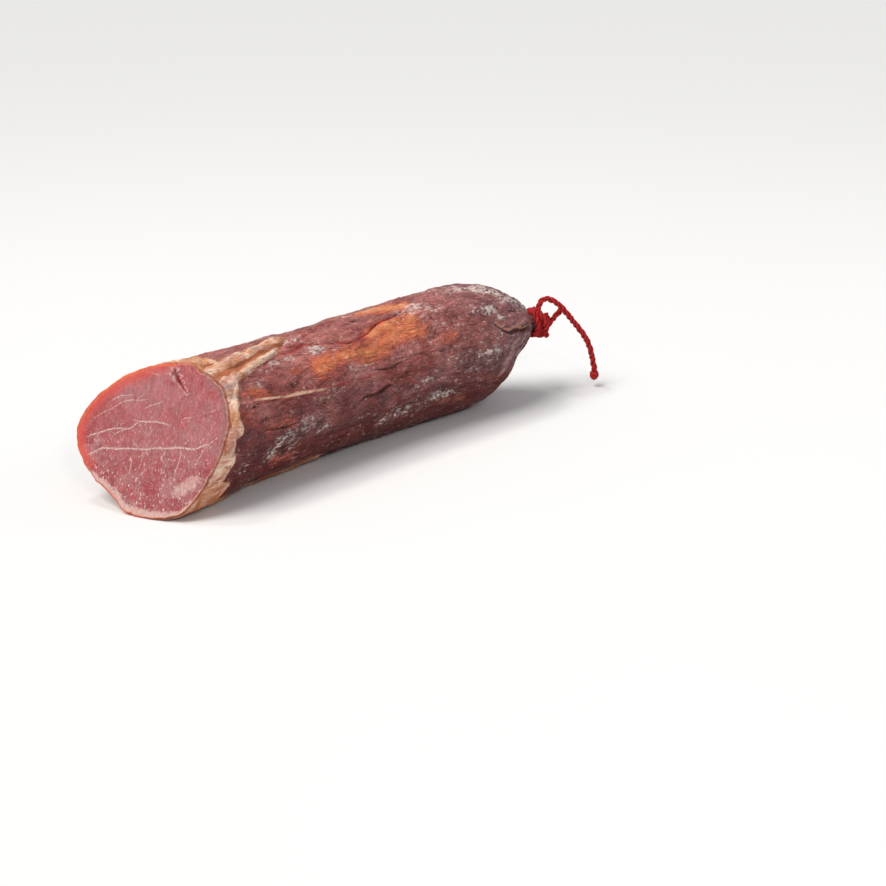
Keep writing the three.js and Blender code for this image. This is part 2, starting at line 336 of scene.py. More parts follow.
def twistedString(name, routes, settings):
    # one mesh over one or more routes, each a lobed tube with rounded ends
    points, faces, grooves, yarns = [], [], [], []
    sides, capDepth = settings["sides"], settings["capDepth"]
    capFrom, capTo, capSteps = 0.3, 1.35, 4
    firstPath = None
    for number, route in enumerate(routes):
        path, travelled = smoothPath(route, settings["ringStep"])
        firstPath = path if firstPath is None else firstPath
        along, side, up = carriedAxes(path)
        rng = np.random.default_rng(11 + number)
        knots = np.linspace(0, travelled[-1], max(int(travelled[-1] / settings["unevenStep"]), 4))
        unevenness = 1 + settings["unevenness"] * np.interp(travelled, knots, rng.uniform(-1, 1, len(knots)))
        slips = settings["slip"] * np.interp(travelled, knots, rng.uniform(-1, 1, len(knots)))
        start, end = len(points), len(path) - 1
        rings = []
        for t in np.linspace(capTo, capFrom, capSteps):
            rings.append((path[0] - along[0] * capDepth * math.sin(t), 0, math.cos(t)))
        rings += [(path[i], i, 1.0) for i in range(len(path))]
        for t in np.linspace(capFrom, capTo, capSteps):
            rings.append((path[-1] + along[-1] * capDepth * math.sin(t), end, math.cos(t)))
        for middle, i, share in rings:
            turn = fullTurn * travelled[i] / settings["twistLength"] + slips[i]
            angle = fullTurn * np.arange(sides) / sides
            radius = plyRadius(angle - turn, settings) * unevenness[i] * share
            radius = radius + settings["wobble"] * np.sin(angle * 5 + travelled[i] * 900)
            outward = np.cos(angle)[:, None] * side[i] + np.sin(angle)[:, None] * up[i]
            points.extend(middle + radius[:, None] * outward)
            # how deep each point lies between the plies, which the material paints as shade
            depth = (radius - settings["grooveFrom"] * share) / (settings["grooveReach"] * max(share, 0.2))
            grooves.extend(1 - depth)
            yarns.extend([((a - turn) / fullTurn * 6, travelled[i] * 90 + a, 0.0) for a in angle])
        count = len(rings)
        for i in range(count - 1):
            for k in range(sides):
                a, b = start + i * sides + k, start + i * sides + (k + 1) % sides
                faces.append((a, b, b + sides, a + sides))
        last = start + (count - 1) * sides
        faces.append(tuple(start + k for k in reversed(range(sides))))
        faces.append(tuple(last + k for k in range(sides)))
    thing = makeObject(name, points, faces, stringMaterial)
    storeMask(thing.data, "groove", np.clip(grooves, 0, 1))
    storeMask(thing.data, "yarn", yarns, "FLOAT_VECTOR")
    return thing, firstPath


# Free tail of the string, in metres: it leaves the hitch upwards, arches over and hangs
tailSettings = {
    "length": 0.0722,
    "route": [
        (0.1399, -0.0139, 0.0554), (0.1407, -0.0142, 0.0584), (0.1427, -0.0151, 0.0608),
        (0.1457, -0.0165, 0.0613), (0.1493, -0.0182, 0.0593), (0.1530, -0.0200, 0.0559),
        (0.1566, -0.0216, 0.0516), (0.1601, -0.0232, 0.0467), (0.1637, -0.0250, 0.0417),
        (0.1672, -0.0266, 0.0367), (0.1702, -0.0280, 0.0312), (0.1724, -0.0290, 0.0254),
        (0.1738, -0.0296, 0.0196), (0.1749, -0.0301, 0.0143), (0.1754, -0.0303, 0.0120),
    ],
}


def makeTail(settings):
    tail, path = twistedString("stringTail", [settings["route"]], stringSettings)
    length = float(np.linalg.norm(np.diff(path, axis=0), axis=1).sum())
    print("tail length", round(length, 4))
    return tail, path


# Knot at the tail's end: the string wound over itself, its cut fibres spread below
tailKnotSettings = {
    "radius": 0.0030, "tall": 1.12, "gap": 0.0004, "rows": 44, "around": 56,
    "fibres": 70, "fibreLength": 0.0017, "fibreWidth": 0.00009, "fibreBend": 0.0003,
}


def makeTailKnot(settings, tailEnd):
    radius = settings["radius"]
    middle = Vector(tailEnd) - Vector((0, 0, settings["gap"] + radius * 1.15))
    rows, around = settings["rows"], settings["around"]
    points, grooves, yarns = [], [], []
    for i in range(rows + 1):
        polar = math.pi * i / rows
        for k in range(around):
            angle = fullTurn * k / around
            turns = 2.1 * (polar - math.pi / 2) + 0.9 * math.sin(angle) + 0.35 * math.sin(2 * angle + 1)
            fold = abs(math.sin(turns * 1.7 + 0.5 * angle * 2))
            pull = 1 + 0.10 * math.cos(angle - 0.8) * math.sin(polar)
            reach = radius * pull * (0.84 + 0.17 * fold ** 0.6)
            points.append((
                middle.x + reach * math.sin(polar) * math.cos(angle),
                middle.y + reach * math.sin(polar) * math.sin(angle),
                middle.z + reach * settings["tall"] * math.cos(polar),
            ))
            # deep between the windings, which the material paints as shade
            grooves.append(max(0, 1 - fold * 1.3))
            yarns.append((turns * 2, angle * 2 + polar * 3, 0.0))
    faces = []
    for i in range(rows):
        for k in range(around):
            a, b = i * around + k, i * around + (k + 1) % around
            faces.append((a, a + around, b + around, b))
    rng = np.random.default_rng(5)
    for _ in range(settings["fibres"]):
        angle, spread = rng.uniform(0, fullTurn), rng.uniform(0.05, 0.75)
        out = np.array([math.cos(angle) * spread, math.sin(angle) * spread, -1.0])
        out /= np.linalg.norm(out)
        root = np.array(middle) + out * radius * 0.85
        tip = root + out * settings["fibreLength"] * rng.uniform(0.4, 1.0)
        tip += rng.uniform(-1, 1, 3) * settings["fibreBend"]
        side = np.cross(out, [0.2, 0.9, 0.1])
        side = side / np.linalg.norm(side) * settings["fibreWidth"]
        other = np.cross(out, side)
        first = len(points)
        for corner in (side, other, -side - other):
            points.append(tuple(root + corner))
            grooves.append(0.2)
            yarns.append((0.0, 0.0, 0.0))
        points.append(tuple(tip))
        grooves.append(0.0)
        yarns.append((1.0, 1.0, 0.0))
        for corners in ((0, 1, 3), (1, 2, 3), (2, 0, 3), (0, 2, 1)):
            faces.append(tuple(first + corner for corner in corners))
    knot = makeObject("stringTailKnot", points, faces, stringMaterial)
    storeMask(knot.data, "groove", np.clip(grooves, 0, 1))
    storeMask(knot.data, "yarn", yarns, "FLOAT_VECTOR")
    return knot


tailString, tailPath = makeTail(tailSettings)
tailKnot = makeTailKnot(tailKnotSettings, tailSettings["route"][-1])
for piece, node in ((tailString, "string_tail"), (tailKnot, "string_tail_knot")):
    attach(piece, "root")
    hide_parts(node)
print("string tail made")


# Windings round the neck, the hitch across them and the two short ends, in mm
tieSettings = {
    "neckRootX": 271.4, "middle": (-5.0, 44.8), "neckRadius": 5.4, "gap": 0.4,
    "turns": 2.3, "pitch": 4.0, "startX": 0.2, "startDegrees": 246,
    "hitch": [
        (7.0, 262, 8.6), (6.6, 238, 9.0), (6.0, 215, 9.9), (5.2, 188, 10.8),
        (4.2, 162, 11.0), (2.8, 142, 10.6), (1.6, 127, 10.5), (1.8, 122.4, 12.0),
    ],
    "shortEnd": [
        (277.0, -11.8, 40.4), (280.6, -12.6, 43.3), (284.2, -13.2, 46.3), (287.7, -14.0, 49.6),
        (291.0, -14.9, 52.4),
    ],
    "stub": [(277.2, -12.6, 39.8), (277.9, -13.9, 38.7), (278.5, -14.9, 37.7)],
}


def aroundNeck(x, degrees, distance, settings):
    angle = math.radians(degrees)
    y, z = settings["middle"]
    return settings["neckRootX"] + x, y + distance * math.cos(angle), z + distance * math.sin(angle)


def makeTie(settings):
    radius = settings["neckRadius"] + settings["gap"] + stringSettings["diameter"] * 500
    winding = []
    for i in range(49):
        turns = settings["turns"] * i / 48
        degrees = settings["startDegrees"] - 360 * turns
        winding.append(aroundNeck(settings["startX"] + settings["pitch"] * turns, degrees, radius, settings))
    hitch = [aroundNeck(x, degrees, distance, settings) for x, degrees, distance in settings["hitch"]]
    routes = [toFrame(route) for route in (winding, hitch, settings["shortEnd"], settings["stub"])]
    tie, _ = twistedString("stringTie", routes, stringSettings)
    return tie


tieString = makeTie(tieSettings)
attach(tieString, "root")
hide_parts("string_tie")
print("string tie made")


# The loin: sizes in mm, angles round it in degrees from +Y up over the top
loinSettings = {
    "neckRootX": 271.4, "neckLength": 9.0, "neckRadius": 5.5, "neckTaper": 1.6, "neckTaperLength": 2.5,
    "domeStartX": 202.6, "domeTipX": 274.0, "domeSharpness": 2.8, "domeFullness": 1.07,
    "halfWidths": (39.1, 35.3, 30.6), "halfHeights": (36.6, 36.4, 38.7), "stations": (0, 0.35, 0.7),
    "ovalSlant": -0.03, "axisBow": 5.0, "tieHeight": 44.4, "tieOffset": -5.0, "tieRise": 1.8,
    "bodyRise": 0.4, "restRound": 0.6,
    "cutTurn": 26.3, "cutLean": 28.6, "cutHeight": 38.8, "cutBlend": (-15, 60),
    "cutRadii": (42.6, 41.2, 37.8, 36.1, 35.2, 34.6, 35.2, 37.0,
                 38.0, 38.4, 38.6, 37.5, 34.9, 30.0, 31.7, 36.7),
    "rimRound": 1.2,
    "collarHeight": 1.1, "collarEdge": 1.7,
    "collarWidths": (9, 9, 10, 12, 15, 15, 10, 10, 12, 19, 24, 26, 20, 13, 10, 9),
    "collarWaves": ((1.2, 9, 0.6), (0.72, 17, 2.1)),
    "sag": (4.5, 228, 20, 130),        # height, degrees, spread, where it ends
    "belly": (2.2, 267, 24, 5, 60),    # height, degrees, spread, from and to
    "pleats": (11, 2.2, 0.6, 224),
    # broad swells: height, how many round the loin, length in mm, phase
    "swells": ((0.3, 2, 195, 0), (0.22, 3, -138, 1.3), (0.18, 3, -300, 2), (0.18, 7, 46, 0.4)),
    # fine wrinkles: height, length in mm, how many round the loin, lean, seed
    "wrinkles": ((0.34, 15, 44, 6, 13), (0.24, 9, 76, 14, 14), (0.18, 7, 70, -22, 15)),
    "finePleats": (0.7, 0.6, 242),     # height, mean, where they start
    "along": 236, "around": 272, "cutRings": 58,
    "collarRows": (0.2, 34), "domeCrowding": 0.045,  # share of the rows and their length in mm
}
# Long folds, in mm: height, width, then stations of (x, degrees)
longFolds = [
    (1.7, 6, ((18, 96), (40, 98), (66, 94), (92, 86))),
    (1.5, 6, ((28, 112), (48, 109), (66, 103), (88, 98))),
    (1.9, 6, ((30, 132), (50, 124), (72, 115), (94, 106))),
    (-1.3, 6, ((30, 122), (50, 116), (72, 108), (92, 101))),
    (-1.2, 6, ((76, 99), (98, 112), (123, 120), (150, 108), (170, 103))),
    (1.1, 6, ((84, 108), (104, 121), (128, 128), (152, 116))),
    (-1.2, 6, ((122, 183), (134, 175), (148, 169), (160, 166))),
    (-1.0, 6, ((40, 196), (90, 206), (140, 209), (196, 204))),
    (-1.5, 6, ((226, 143), (240, 154), (254, 158), (266, 156))),
    (1.4, 6, ((230, 168), (244, 172), (256, 170), (266, 165))),
    (1.5, 6, ((226, 222), (242, 208), (254, 192), (264, 180))),
    (-5.2, 28, ((240, 238), (252, 224), (264, 210))),
    (-1.3, 6, ((70, 30), (120, 24), (170, 32), (214, 26))),
    (1.2, 6, ((40, 52), (84, 60), (126, 50), (160, 56))),
    (-1.2, 6, ((228, 60), (244, 72), (256, 84), (264, 90))),
]
# Narrow creases and ridges that sharpen them
fineFolds = [
    (-1.1, 1.8, ((76, 103), (79, 111), (92, 114), (106, 119.5), (117, 123.5), (123, 125), (129, 122.7),
                 (136, 119), (144, 113), (161, 107.5))),
    (0.9, 2.4, ((84, 108), (92, 111), (106, 116), (117, 120), (123, 121.5), (129, 119), (136, 115),
                (144, 109.5), (161, 104))),
    (-0.8, 1.6, ((57, 123), (65.4, 119.5), (72, 116.6), (80, 117), (91, 114.6))),
    (-0.7, 1.8, ((84, 111), (88, 109), (99, 100.7), (106, 96), (117, 88))),
    (-0.8, 1.6, ((35, 121.5), (45, 116.3), (55.4, 111), (65, 107.4), (75, 103))),
    (-0.8, 2.0, ((24, 104), (44, 104), (66, 99), (92, 91))),
    (-0.9, 2.0, ((34, 118), (52, 113), (70, 107), (90, 99))),
    (0.6, 2.2, ((34, 127), (52, 120), (70, 112), (92, 104))),
    (-0.6, 1.8, ((40, 92), (58, 91), (76, 87), (94, 83))),
    (-1.0, 1.8, ((112, 181), (120, 177.5), (127, 177.5), (131, 178.5), (136, 175.6), (140, 174.6),
                 (144, 178))),
    (-0.6, 1.6, ((44, 174), (56, 178.3), (63.5, 179.3), (72, 176.5))),
    (-0.7, 1.5, ((126, 153), (136, 156.6), (144, 157.6))),
    (-0.6, 1.8, ((134, 157), (149, 155), (157, 154), (174, 150))),
    (0.5, 2.4, ((35, 152), (50, 150), (69, 153), (89, 157), (111, 156))),
    (-0.5, 1.6, ((36, 155), (52, 153.5), (70, 156.5), (90, 160))),
    (-1.7, 2.4, ((224, 142), (231.4, 153.3), (236.3, 157.8), (243.4, 156.8), (255.4, 163), (266, 161))),
    (1.0, 2.6, ((226, 137), (233, 147.5), (240, 151.5), (248, 149), (262, 142))),
    (-0.8, 2.0, ((232, 178), (246, 184), (258, 182), (268, 176))),
    (-0.9, 2.2, ((236, 213), (246, 200), (256, 190), (266, 178))),
    (-0.6, 1.8, ((214, 120), (230, 128), (248, 134), (264, 138))),
    (-0.6, 1.8, ((216, 96), (234, 104), (250, 112), (266, 120))),
    (-0.7, 2.0, ((222, 240), (238, 228), (252, 214), (266, 204))),
    (-0.6, 1.8, ((60, 190), (76, 192), (90, 190))),
    (-0.5, 1.8, ((60, 205), (90, 214), (120, 220))),
]
# Flap of fat over the top and a tongue of it along the underside, as outlines of (x, degrees)
fatPatches = [
    ((8, 98), (30, 102), (44, 101), (53, 99), (62, 97), (70, 95), (77, 92), (85, 90), (87, 95), (84, 99),
     (79, 103), (76, 109), (72, 116), (66, 119.5), (59, 121.5), (52, 125.5), (41, 131.5), (30, 140),
     (8, 150)),
    ((4, 226), (22, 231), (40, 240), (60, 241), (84, 239), (106, 240), (96, 250), (60, 256), (20, 262),
     (-6, 262)),
]

# Where the collar ends on the side that shows, as (degrees, x)
collarEnds = [
    (131, 41), (136, 38.5), (141, 36.5), (148, 35.5), (153.5, 31.6), (158, 31.5), (162, 32.9), (168.7, 33.2),
    (172, 32.3), (174, 28.1), (176, 26.6), (180, 26.2), (184, 25.5), (189, 27.2), (193, 27.4), (197, 23.2),
    (205, 20.3), (210, 14.1), (213.5, 6.3),
]


def smoothStep(low, high, value):
    t = np.clip((value - low) / (high - low), 0, 1)
    return t * t * (3 - 2 * t)


def alongLoin(sizes, x, s):
    u0, u1, u2 = s["stations"]
    u = np.clip(x / s["neckRootX"], -0.15, u2)
    first = sizes[0] * (u - u1) * (u - u2) / ((u0 - u1) * (u0 - u2))
    second = sizes[1] * (u - u0) * (u - u2) / ((u1 - u0) * (u1 - u2))
    return first + second + sizes[2] * (u - u0) * (u - u1) / ((u2 - u0) * (u2 - u1))


def roundValue(values, angle):
    values = np.asarray(values, float)
    count = len(values)
    place = (angle / fullTurn % 1) * count
    index = np.floor(place).astype(int) % count
    t = place - np.floor(place)
    before, here, after, last = (values[(index + k) % count] for k in (-1, 0, 1, 2))
    square, cube = 2 * before - 5 * here + 4 * after - last, 3 * (here - after) + last - before
    return here + 0.5 * t * (after - before + t * (square + t * cube))


def foldDegrees(path, x):
    xs, degrees = np.array(path, float).T
    last = len(xs) - 1
    index = np.clip(np.searchsorted(xs, x, side="right") - 1, 0, last - 1)
    low, high = np.maximum(np.arange(last + 1) - 1, 0), np.minimum(np.arange(last + 1) + 1, last)
    slopes = (degrees[high] - degrees[low]) / (xs[high] - xs[low])
    span = xs[index + 1] - xs[index]
    t = np.clip((x - xs[index]) / span, 0, 1)
    leaving = degrees[index] * (1 + 2 * t) * (1 - t) ** 2 + slopes[index] * span * t * (1 - t) ** 2
    return leaving + degrees[index + 1] * t * t * (3 - 2 * t) + slopes[index + 1] * span * t * t * (t - 1)


def waveNoise(u, v, cellsAround, seed):
    # smooth random heights from -1 to 1 that repeat after cellsAround in v
    grid = np.random.default_rng(seed).uniform(-1, 1, (64, cellsAround))
    i, j = np.floor(u).astype(int), np.floor(v).astype(int)
    a, b = u - i, v - j
    a, b = a ** 3 * (a * (6 * a - 15) + 10), b ** 3 * (b * (6 * b - 15) + 10)
    corner = [[grid[(i + m) % 64, (j + n) % cellsAround] for n in (0, 1)] for m in (0, 1)]
    low = corner[0][0] * (1 - b) + corner[0][1] * b
    high = corner[1][0] * (1 - b) + corner[1][1] * b
    return low * (1 - a) + high * a


def wrinkleNoise(x, angle, length, count, lean, seed):
    # lean is how many cells the wrinkles drift round the loin in 100 mm
    v = angle / fullTurn * count + lean * x / 100
    warp = 0.5 * waveNoise(x / (1.7 * length) + 7, v / 3, max(count // 3, 1), seed + 50)
    return waveNoise(x / length + 20, v + warp, count, seed)


def patchEdge(x, degrees, outline):
    # distance in mm to the outline of a patch, negative inside
    corners = np.array(outline, float) * (1, 0.64)
    px, py = x, degrees * 0.64
    nearest = np.full(np.shape(x), 1e9)
    inside = np.zeros(np.shape(x), bool)
    for (ax, ay), (bx, by) in zip(corners, np.roll(corners, -1, axis=0)):
        t = np.clip(((px - ax) * (bx - ax) + (py - ay) * (by - ay)) / ((bx - ax) ** 2 + (by - ay) ** 2), 0, 1)
        nearest = np.minimum(nearest, np.hypot(px - ax - t * (bx - ax), py - ay - t * (by - ay)))
        crosses = (ay > py) != (by > py)
        inside ^= crosses & (px < (bx - ax) * (py - ay) / np.where(by == ay, 1e-9, by - ay) + ax)
    return np.where(inside, -nearest, nearest)


def foldRelief(folds, x, degrees, radius, fades=(6, 8)):
    relief = np.zeros(np.shape(x))
    for height, width, path in folds:
        first, last = path[0][0], path[-1][0]
        fade = smoothStep(first - fades[0], first + fades[1], x)
        fade = fade * (1 - smoothStep(last - fades[1], last + fades[0], x))
        across = np.radians(degrees - foldDegrees(path, x)) * radius
        relief = relief + height * fade * np.exp(-(across / (width / 2)) ** 2)
    return relief


def axisAt(x, s):
    half = alongLoin(s["halfHeights"], x, s)
    u = np.clip(x / s["neckRootX"], -0.2, 1)
    rise = np.clip((x - s["domeStartX"]) / (s["neckRootX"] - s["domeStartX"]), 0, 1) ** s["tieRise"]
    y = 4 * s["axisBow"] * np.where(u < 0, u, u * (1 - u)) + s["tieOffset"] * rise
    return y, half + s["bodyRise"] + (s["tieHeight"] - half) * rise


def behindCut(x, y, z, s):
    turn, lean = math.radians(s["cutTurn"]), math.radians(s["cutLean"])
    return x - math.tan(lean) / math.cos(turn) * (z - s["cutHeight"]) + math.tan(turn) * y


def skinPoint(x, angle, s, fine=True):
    degrees = np.degrees(angle)
    halfWidth, halfHeight = alongLoin(s["halfWidths"], x, s), alongLoin(s["halfHeights"], x, s)
    slant = 1 + s["ovalSlant"] * np.sin(2 * angle)
    oval = slant / np.hypot(np.cos(angle) / halfWidth, np.sin(angle) / halfHeight)
    share = smoothStep(*s["cutBlend"], x)
    plain = roundValue(s["cutRadii"], angle) * (1 - share) + oval * share
    onDome = np.clip((x - s["domeStartX"]) / (s["domeTipX"] - s["domeStartX"]), 0, 1)
    profile = np.maximum(1 - onDome ** s["domeSharpness"], 0) ** (1 / s["domeFullness"])
    middleY, middleZ = axisAt(x, s)
    radius = plain * profile
    behind = behindCut(x, middleY + radius * np.cos(angle), middleZ + radius * np.sin(angle), s)
    width = roundValue(s["collarWidths"], angle)
    for size, count, phase in s["collarWaves"]:
        width = width + size * np.sin(count * angle + phase)
    fatEdge = behind - width
    if fine:
        ragged = 0.9 * wrinkleNoise(x, angle, 9, 42, 0, 3) + 0.8 * wrinkleNoise(x, angle, 4, 90, 0, 4)
        shown = smoothStep(129, 134, degrees) * (1 - smoothStep(206, 213, degrees))
        fatEdge = fatEdge * (1 - shown) + (x - np.interp(degrees, *np.array(collarEnds).T)) * shown
        for outline in fatPatches:
            fatEdge = np.minimum(fatEdge, patchEdge(x, degrees, outline))
        fatEdge = fatEdge + ragged
    edge = s["collarEdge"] if fine else 3.0
    fat = 1 - smoothStep(-edge, 0, fatEdge)
    radius = radius + s["collarHeight"] * fat
    height, at, spread, end = s["sag"]
    radius = radius + height * np.exp(-((degrees - at) / spread) ** 2) * (1 - smoothStep(0, end, x))
    height, at, spread, start, end = s["belly"]
    radius = radius + height * np.exp(-((degrees - at) / spread) ** 2) * smoothStep(start, end, x) * profile
    thick = smoothStep(5, 18, radius)
    swell = 0
    for height, count, length, phase in s["swells"]:
        swell = swell + height * np.sin(count * angle + fullTurn * x / length + phase)
    flapFolds = foldRelief(longFolds[:4], x, degrees, radius) * (0.55 if fine else 1)
    relief = flapFolds + foldRelief(longFolds[4:], x, degrees, radius) + swell * smoothStep(0, 25, x)
    crease = np.zeros(np.shape(x))
    if fine:
        sharp = foldRelief(fineFolds, x, degrees, radius, (3, 10))
        inFat = smoothStep(-0.5, -4, fatEdge)
        lip = 0.6 * np.exp(-((fatEdge + 1.9) / 1.2) ** 2)
        lumps = 0.35 * wrinkleNoise(x, angle, 28, 9, 0.8, 8) + 0.24 * wrinkleNoise(x, angle, 13, 22, 2, 9)
        wrinkles = 0
        for height, *layer in s["wrinkles"]:
            wrinkles = wrinkles + height * (1 - 2.6 * np.abs(wrinkleNoise(x, angle, *layer)))
        fatLumps = 0.35 * wrinkleNoise(x, angle, 9, 34, 3, 23) + 0.25 * wrinkleNoise(x, angle, 5, 60, 5, 24)
        fatFolds = np.abs(wrinkleNoise(x, angle, 14, 44, 22, 25))
        fatLumps = fatLumps + 0.5 * np.minimum(fatFolds, 0.3) / 0.3 - 0.3
        relief = relief + sharp + lumps * smoothStep(0, 20, x) + lip
        relief = relief + wrinkles * (1 - inFat) + fatLumps * inFat
        # crease depth, which the materials paint as shade
        crease = np.clip(-sharp - 0.5 * foldRelief(longFolds[:11], x, degrees, radius), -1.5, 1.5)
        crease = crease - wrinkles * (1 - inFat) + inFat * (0.8 * smoothStep(0.16, 0.02, fatFolds) - 0.15)
    radius = radius + thick * relief
    count, depth, mean, start = s["pleats"]
    uneven = angle + 0.12 * np.sin(3 * angle + 1)
    fold = np.abs(np.sin(count / 2 * uneven))
    gather = smoothStep(start, s["neckRootX"], x)
    radius = radius + smoothStep(5.4, 14, radius) * depth * gather * (fold - mean)
    if fine:
        many = np.abs(np.sin(13 * angle + 1.5 * np.sin(4 * angle) + x / 40)) ** 0.7
        depth, mean, start = s["finePleats"]
        pleated = smoothStep(5.0, 11, radius) * depth * smoothStep(start, s["neckRootX"], x)
        radius = radius + pleated * (many - mean)
        crease = crease + 0.8 * gather * (0.5 - fold)
    neckEnd = s["neckRootX"] + s["neckLength"]
    neck = s["neckRadius"] - s["neckTaper"] * smoothStep(neckEnd - s["neckTaperLength"], neckEnd, x)
    if fine:
        neck = neck + 0.22 * np.sin(14 * angle + 2 * np.sin(3 * angle))
    radius = np.where(x < s["domeStartX"], radius, np.maximum(radius, neck))
    z = middleZ + radius * np.sin(angle)
    near = np.maximum(s["restRound"] - np.abs(z), 0)
    z = np.maximum(z, 0) + near ** 2 / (4 * s["restRound"])
    point = np.stack([x, middleY + radius * np.cos(angle), z], axis=-1)
    return point, {"fatEdge": fatEdge, "crease": crease, "behind": behind}


def cutPoint(angle, s):
    x = np.zeros(np.shape(angle))
    for _ in range(16):
        point, _ = skinPoint(x, angle, s)
        x = x - 0.7 * behindCut(point[..., 0], point[..., 1], point[..., 2], s)
    point, masks = skinPoint(x, angle, s)
    return x, point, masks


# Colour patches on the casing: strength, spread in mm, then stations of (x, degrees)
paprikaPatches = [
    (0.95, 6, ((92, 140), (96, 139), (106, 134.5), (116, 134), (129, 136.5))),
    (0.9, 6, ((126, 136), (139, 133), (146, 129), (153, 127), (162, 128), (169, 133))),
    (1.0, 5, ((134, 124), (140, 121), (149, 117), (158, 115), (170, 117))),
    (0.5, 4, ((180, 144.7), (193, 145))),
    (0.85, 5, ((144, 91), (150.5, 92.4), (160, 95), (172, 97.5))),
    (0.7, 4, ((126, 83), (136, 88))),
    (0.5, 4, ((76, 137), (92, 140))),
    (0.6, 4, ((42, 144), (52, 144))),
    (0.5, 4, ((50, 174), (60.6, 176), (68, 177))),
    (0.45, 4, ((56, 211), (70, 214))),
    (0.28, 5, ((188, 219), (202, 223))),
    (0.5, 8, ((150, 62), (190, 58), (220, 66))),
    (0.45, 9, ((60, 30), (100, 22), (150, 18))),
    (0.55, 7, ((150, 300), (190, 310), (224, 300))),
    (0.4, 7, ((20, 60), (60, 66), (110, 60))),
]
bloomPatches = [
    (0.8, 3.2, ((63, 122), (68, 122.5))), (0.7, 3, ((74, 124), (80, 124))),
    (1.0, 4, ((94, 122), (102, 122.5))), (0.9, 3.5, ((84, 99), (93, 105))),
    (0.5, 4, ((116, 150), (123, 150))), (0.6, 3, ((48, 136), (52, 136.5))),
    (1.0, 5, ((54, 203), (57.6, 193), (61.5, 187))), (0.9, 4, ((65, 200), (70, 199))),
    (0.9, 5, ((68, 187), (74, 182), (80, 181))), (0.7, 4, ((86, 198), (92, 192))),
    (0.5, 5, ((87, 165), (98, 163))), (0.85, 6, ((168, 106), (181, 105))),
    (0.7, 4, ((184, 112), (190, 116))), (0.7, 3, ((176, 119), (181, 119.5))),
    (0.8, 6, ((196, 86), (209, 92))), (1.5, 6, ((216, 95), (224, 99), (232, 100))),
    (1.6, 6, ((229, 104), (235, 109))), (1.9, 3.0, ((221, 130), (226, 128))),
    (0.9, 3.5, ((212, 126), (218, 126))), (1.5, 2.2, ((230, 139), (232, 139))),
    (1.0, 8, ((238, 112), (254, 117), (262, 116))), (1.8, 2.0, ((214, 172), (218, 173))),
    (0.9, 4, ((208, 172), (224, 174))), (1.1, 1.8, ((202, 164.5), (204, 164.5))),
    (0.26, 34, ((190, 150), (222, 165), (262, 165))), (0.20, 22, ((150, 205), (190, 200))),
    (0.7, 3.5, ((186, 168), (193, 168.5))), (0.8, 3, ((166, 182), (171, 182))),
    (0.9, 4, ((168, 216), (173, 208), (180, 209), (190, 210))), (0.7, 4, ((200, 188), (208, 189))),
    (0.9, 4, ((136, 215), (147, 215), (156, 214))), (0.8, 10, ((190, 30), (216, 44), (240, 60))),
    (0.6, 9, ((80, 70), (120, 74), (150, 80))), (0.5, 10, ((110, 270), (150, 262), (200, 280))),
    (0.6, 9, ((40, 352), (80, 348), (120, 340))),
]


def paintPatches(patches, x, degrees):
    strength = np.zeros(np.shape(x))
    for height, spread, path in patches:
        first, last = path[0][0], path[-1][0]
        if first > last:
            path = path[::-1]
            first, last = last, first
        beyond = np.maximum(np.maximum(first - x, x - last), 0)
        across = (degrees - foldDegrees(path, x)) * 0.62
        strength = np.maximum(strength, height * np.exp(-((across ** 2 + beyond ** 2) / spread ** 2)))
    return strength


def cutAxes(s):
    turn, lean = math.radians(s["cutTurn"]), math.radians(s["cutLean"])
    facing = np.array([-math.cos(turn) * math.cos(lean), -math.sin(turn) * math.cos(lean), math.sin(lean)])
    right = np.array([math.sin(turn), -math.cos(turn), 0])
    return facing, right, np.cross(facing, right)


# The gash near the top of the cut, as stations of (right, up) from its middle in mm
gashSettings = {
    "path": ((4.6, 35.0), (5.4, 33.2), (7.6, 31.4), (8.3, 29.6), (10.6, 28.1), (12.0, 26.3), (14.9, 24.6)),
    "width": 1.2, "depth": 1.4, "narrowing": (25.0, 33.0), "deepens": (24.2, 29),
    "lip": (0.3, 2.0, 0.8),  # height, distance and width of the raised lips
}


def pathDistance(p, q, path):
    nearest = np.full(np.shape(p), 1e9)
    for (ax, ay), (bx, by) in zip(path, path[1:]):
        t = np.clip(((p - ax) * (bx - ax) + (q - ay) * (by - ay)) / ((bx - ax) ** 2 + (by - ay) ** 2), 0, 1)
        nearest = np.minimum(nearest, np.hypot(p - ax - t * (bx - ax), q - ay - t * (by - ay)))
    return nearest


def skinRows(start, end, s):
    # rows close together by the collar and over the dome
    share, length = s["collarRows"]
    collarEnd = start + length
    rows = []
    for fraction in np.linspace(0, 1, s["along"]):
        if fraction < share:
            rows.append(start + (collarEnd - start) * fraction / share)
        else:
            t = (fraction - share) / (1 - share)
            t = t + s["domeCrowding"] * math.sin(fullTurn * t) * t
            rows.append(collarEnd + (end - collarEnd) * t)
    return np.array(rows)


def ringFaces(ringCount, around):
    # a fan round the first point, quads ring by ring, and a fan to the last point
    faces = [(0, 1 + (k + 1) % around, 1 + k) for k in range(around)]
    for i in range(ringCount - 1):
        low = 1 + i * around
        for k in range(around):
            n = (k + 1) % around
            faces.append((low + k, low + n, low + around + n, low + around + k))
    lastRing = 1 + (ringCount - 1) * around
    tip = lastRing + around
    return faces + [(tip, lastRing + k, lastRing + (k + 1) % around) for k in range(around)]


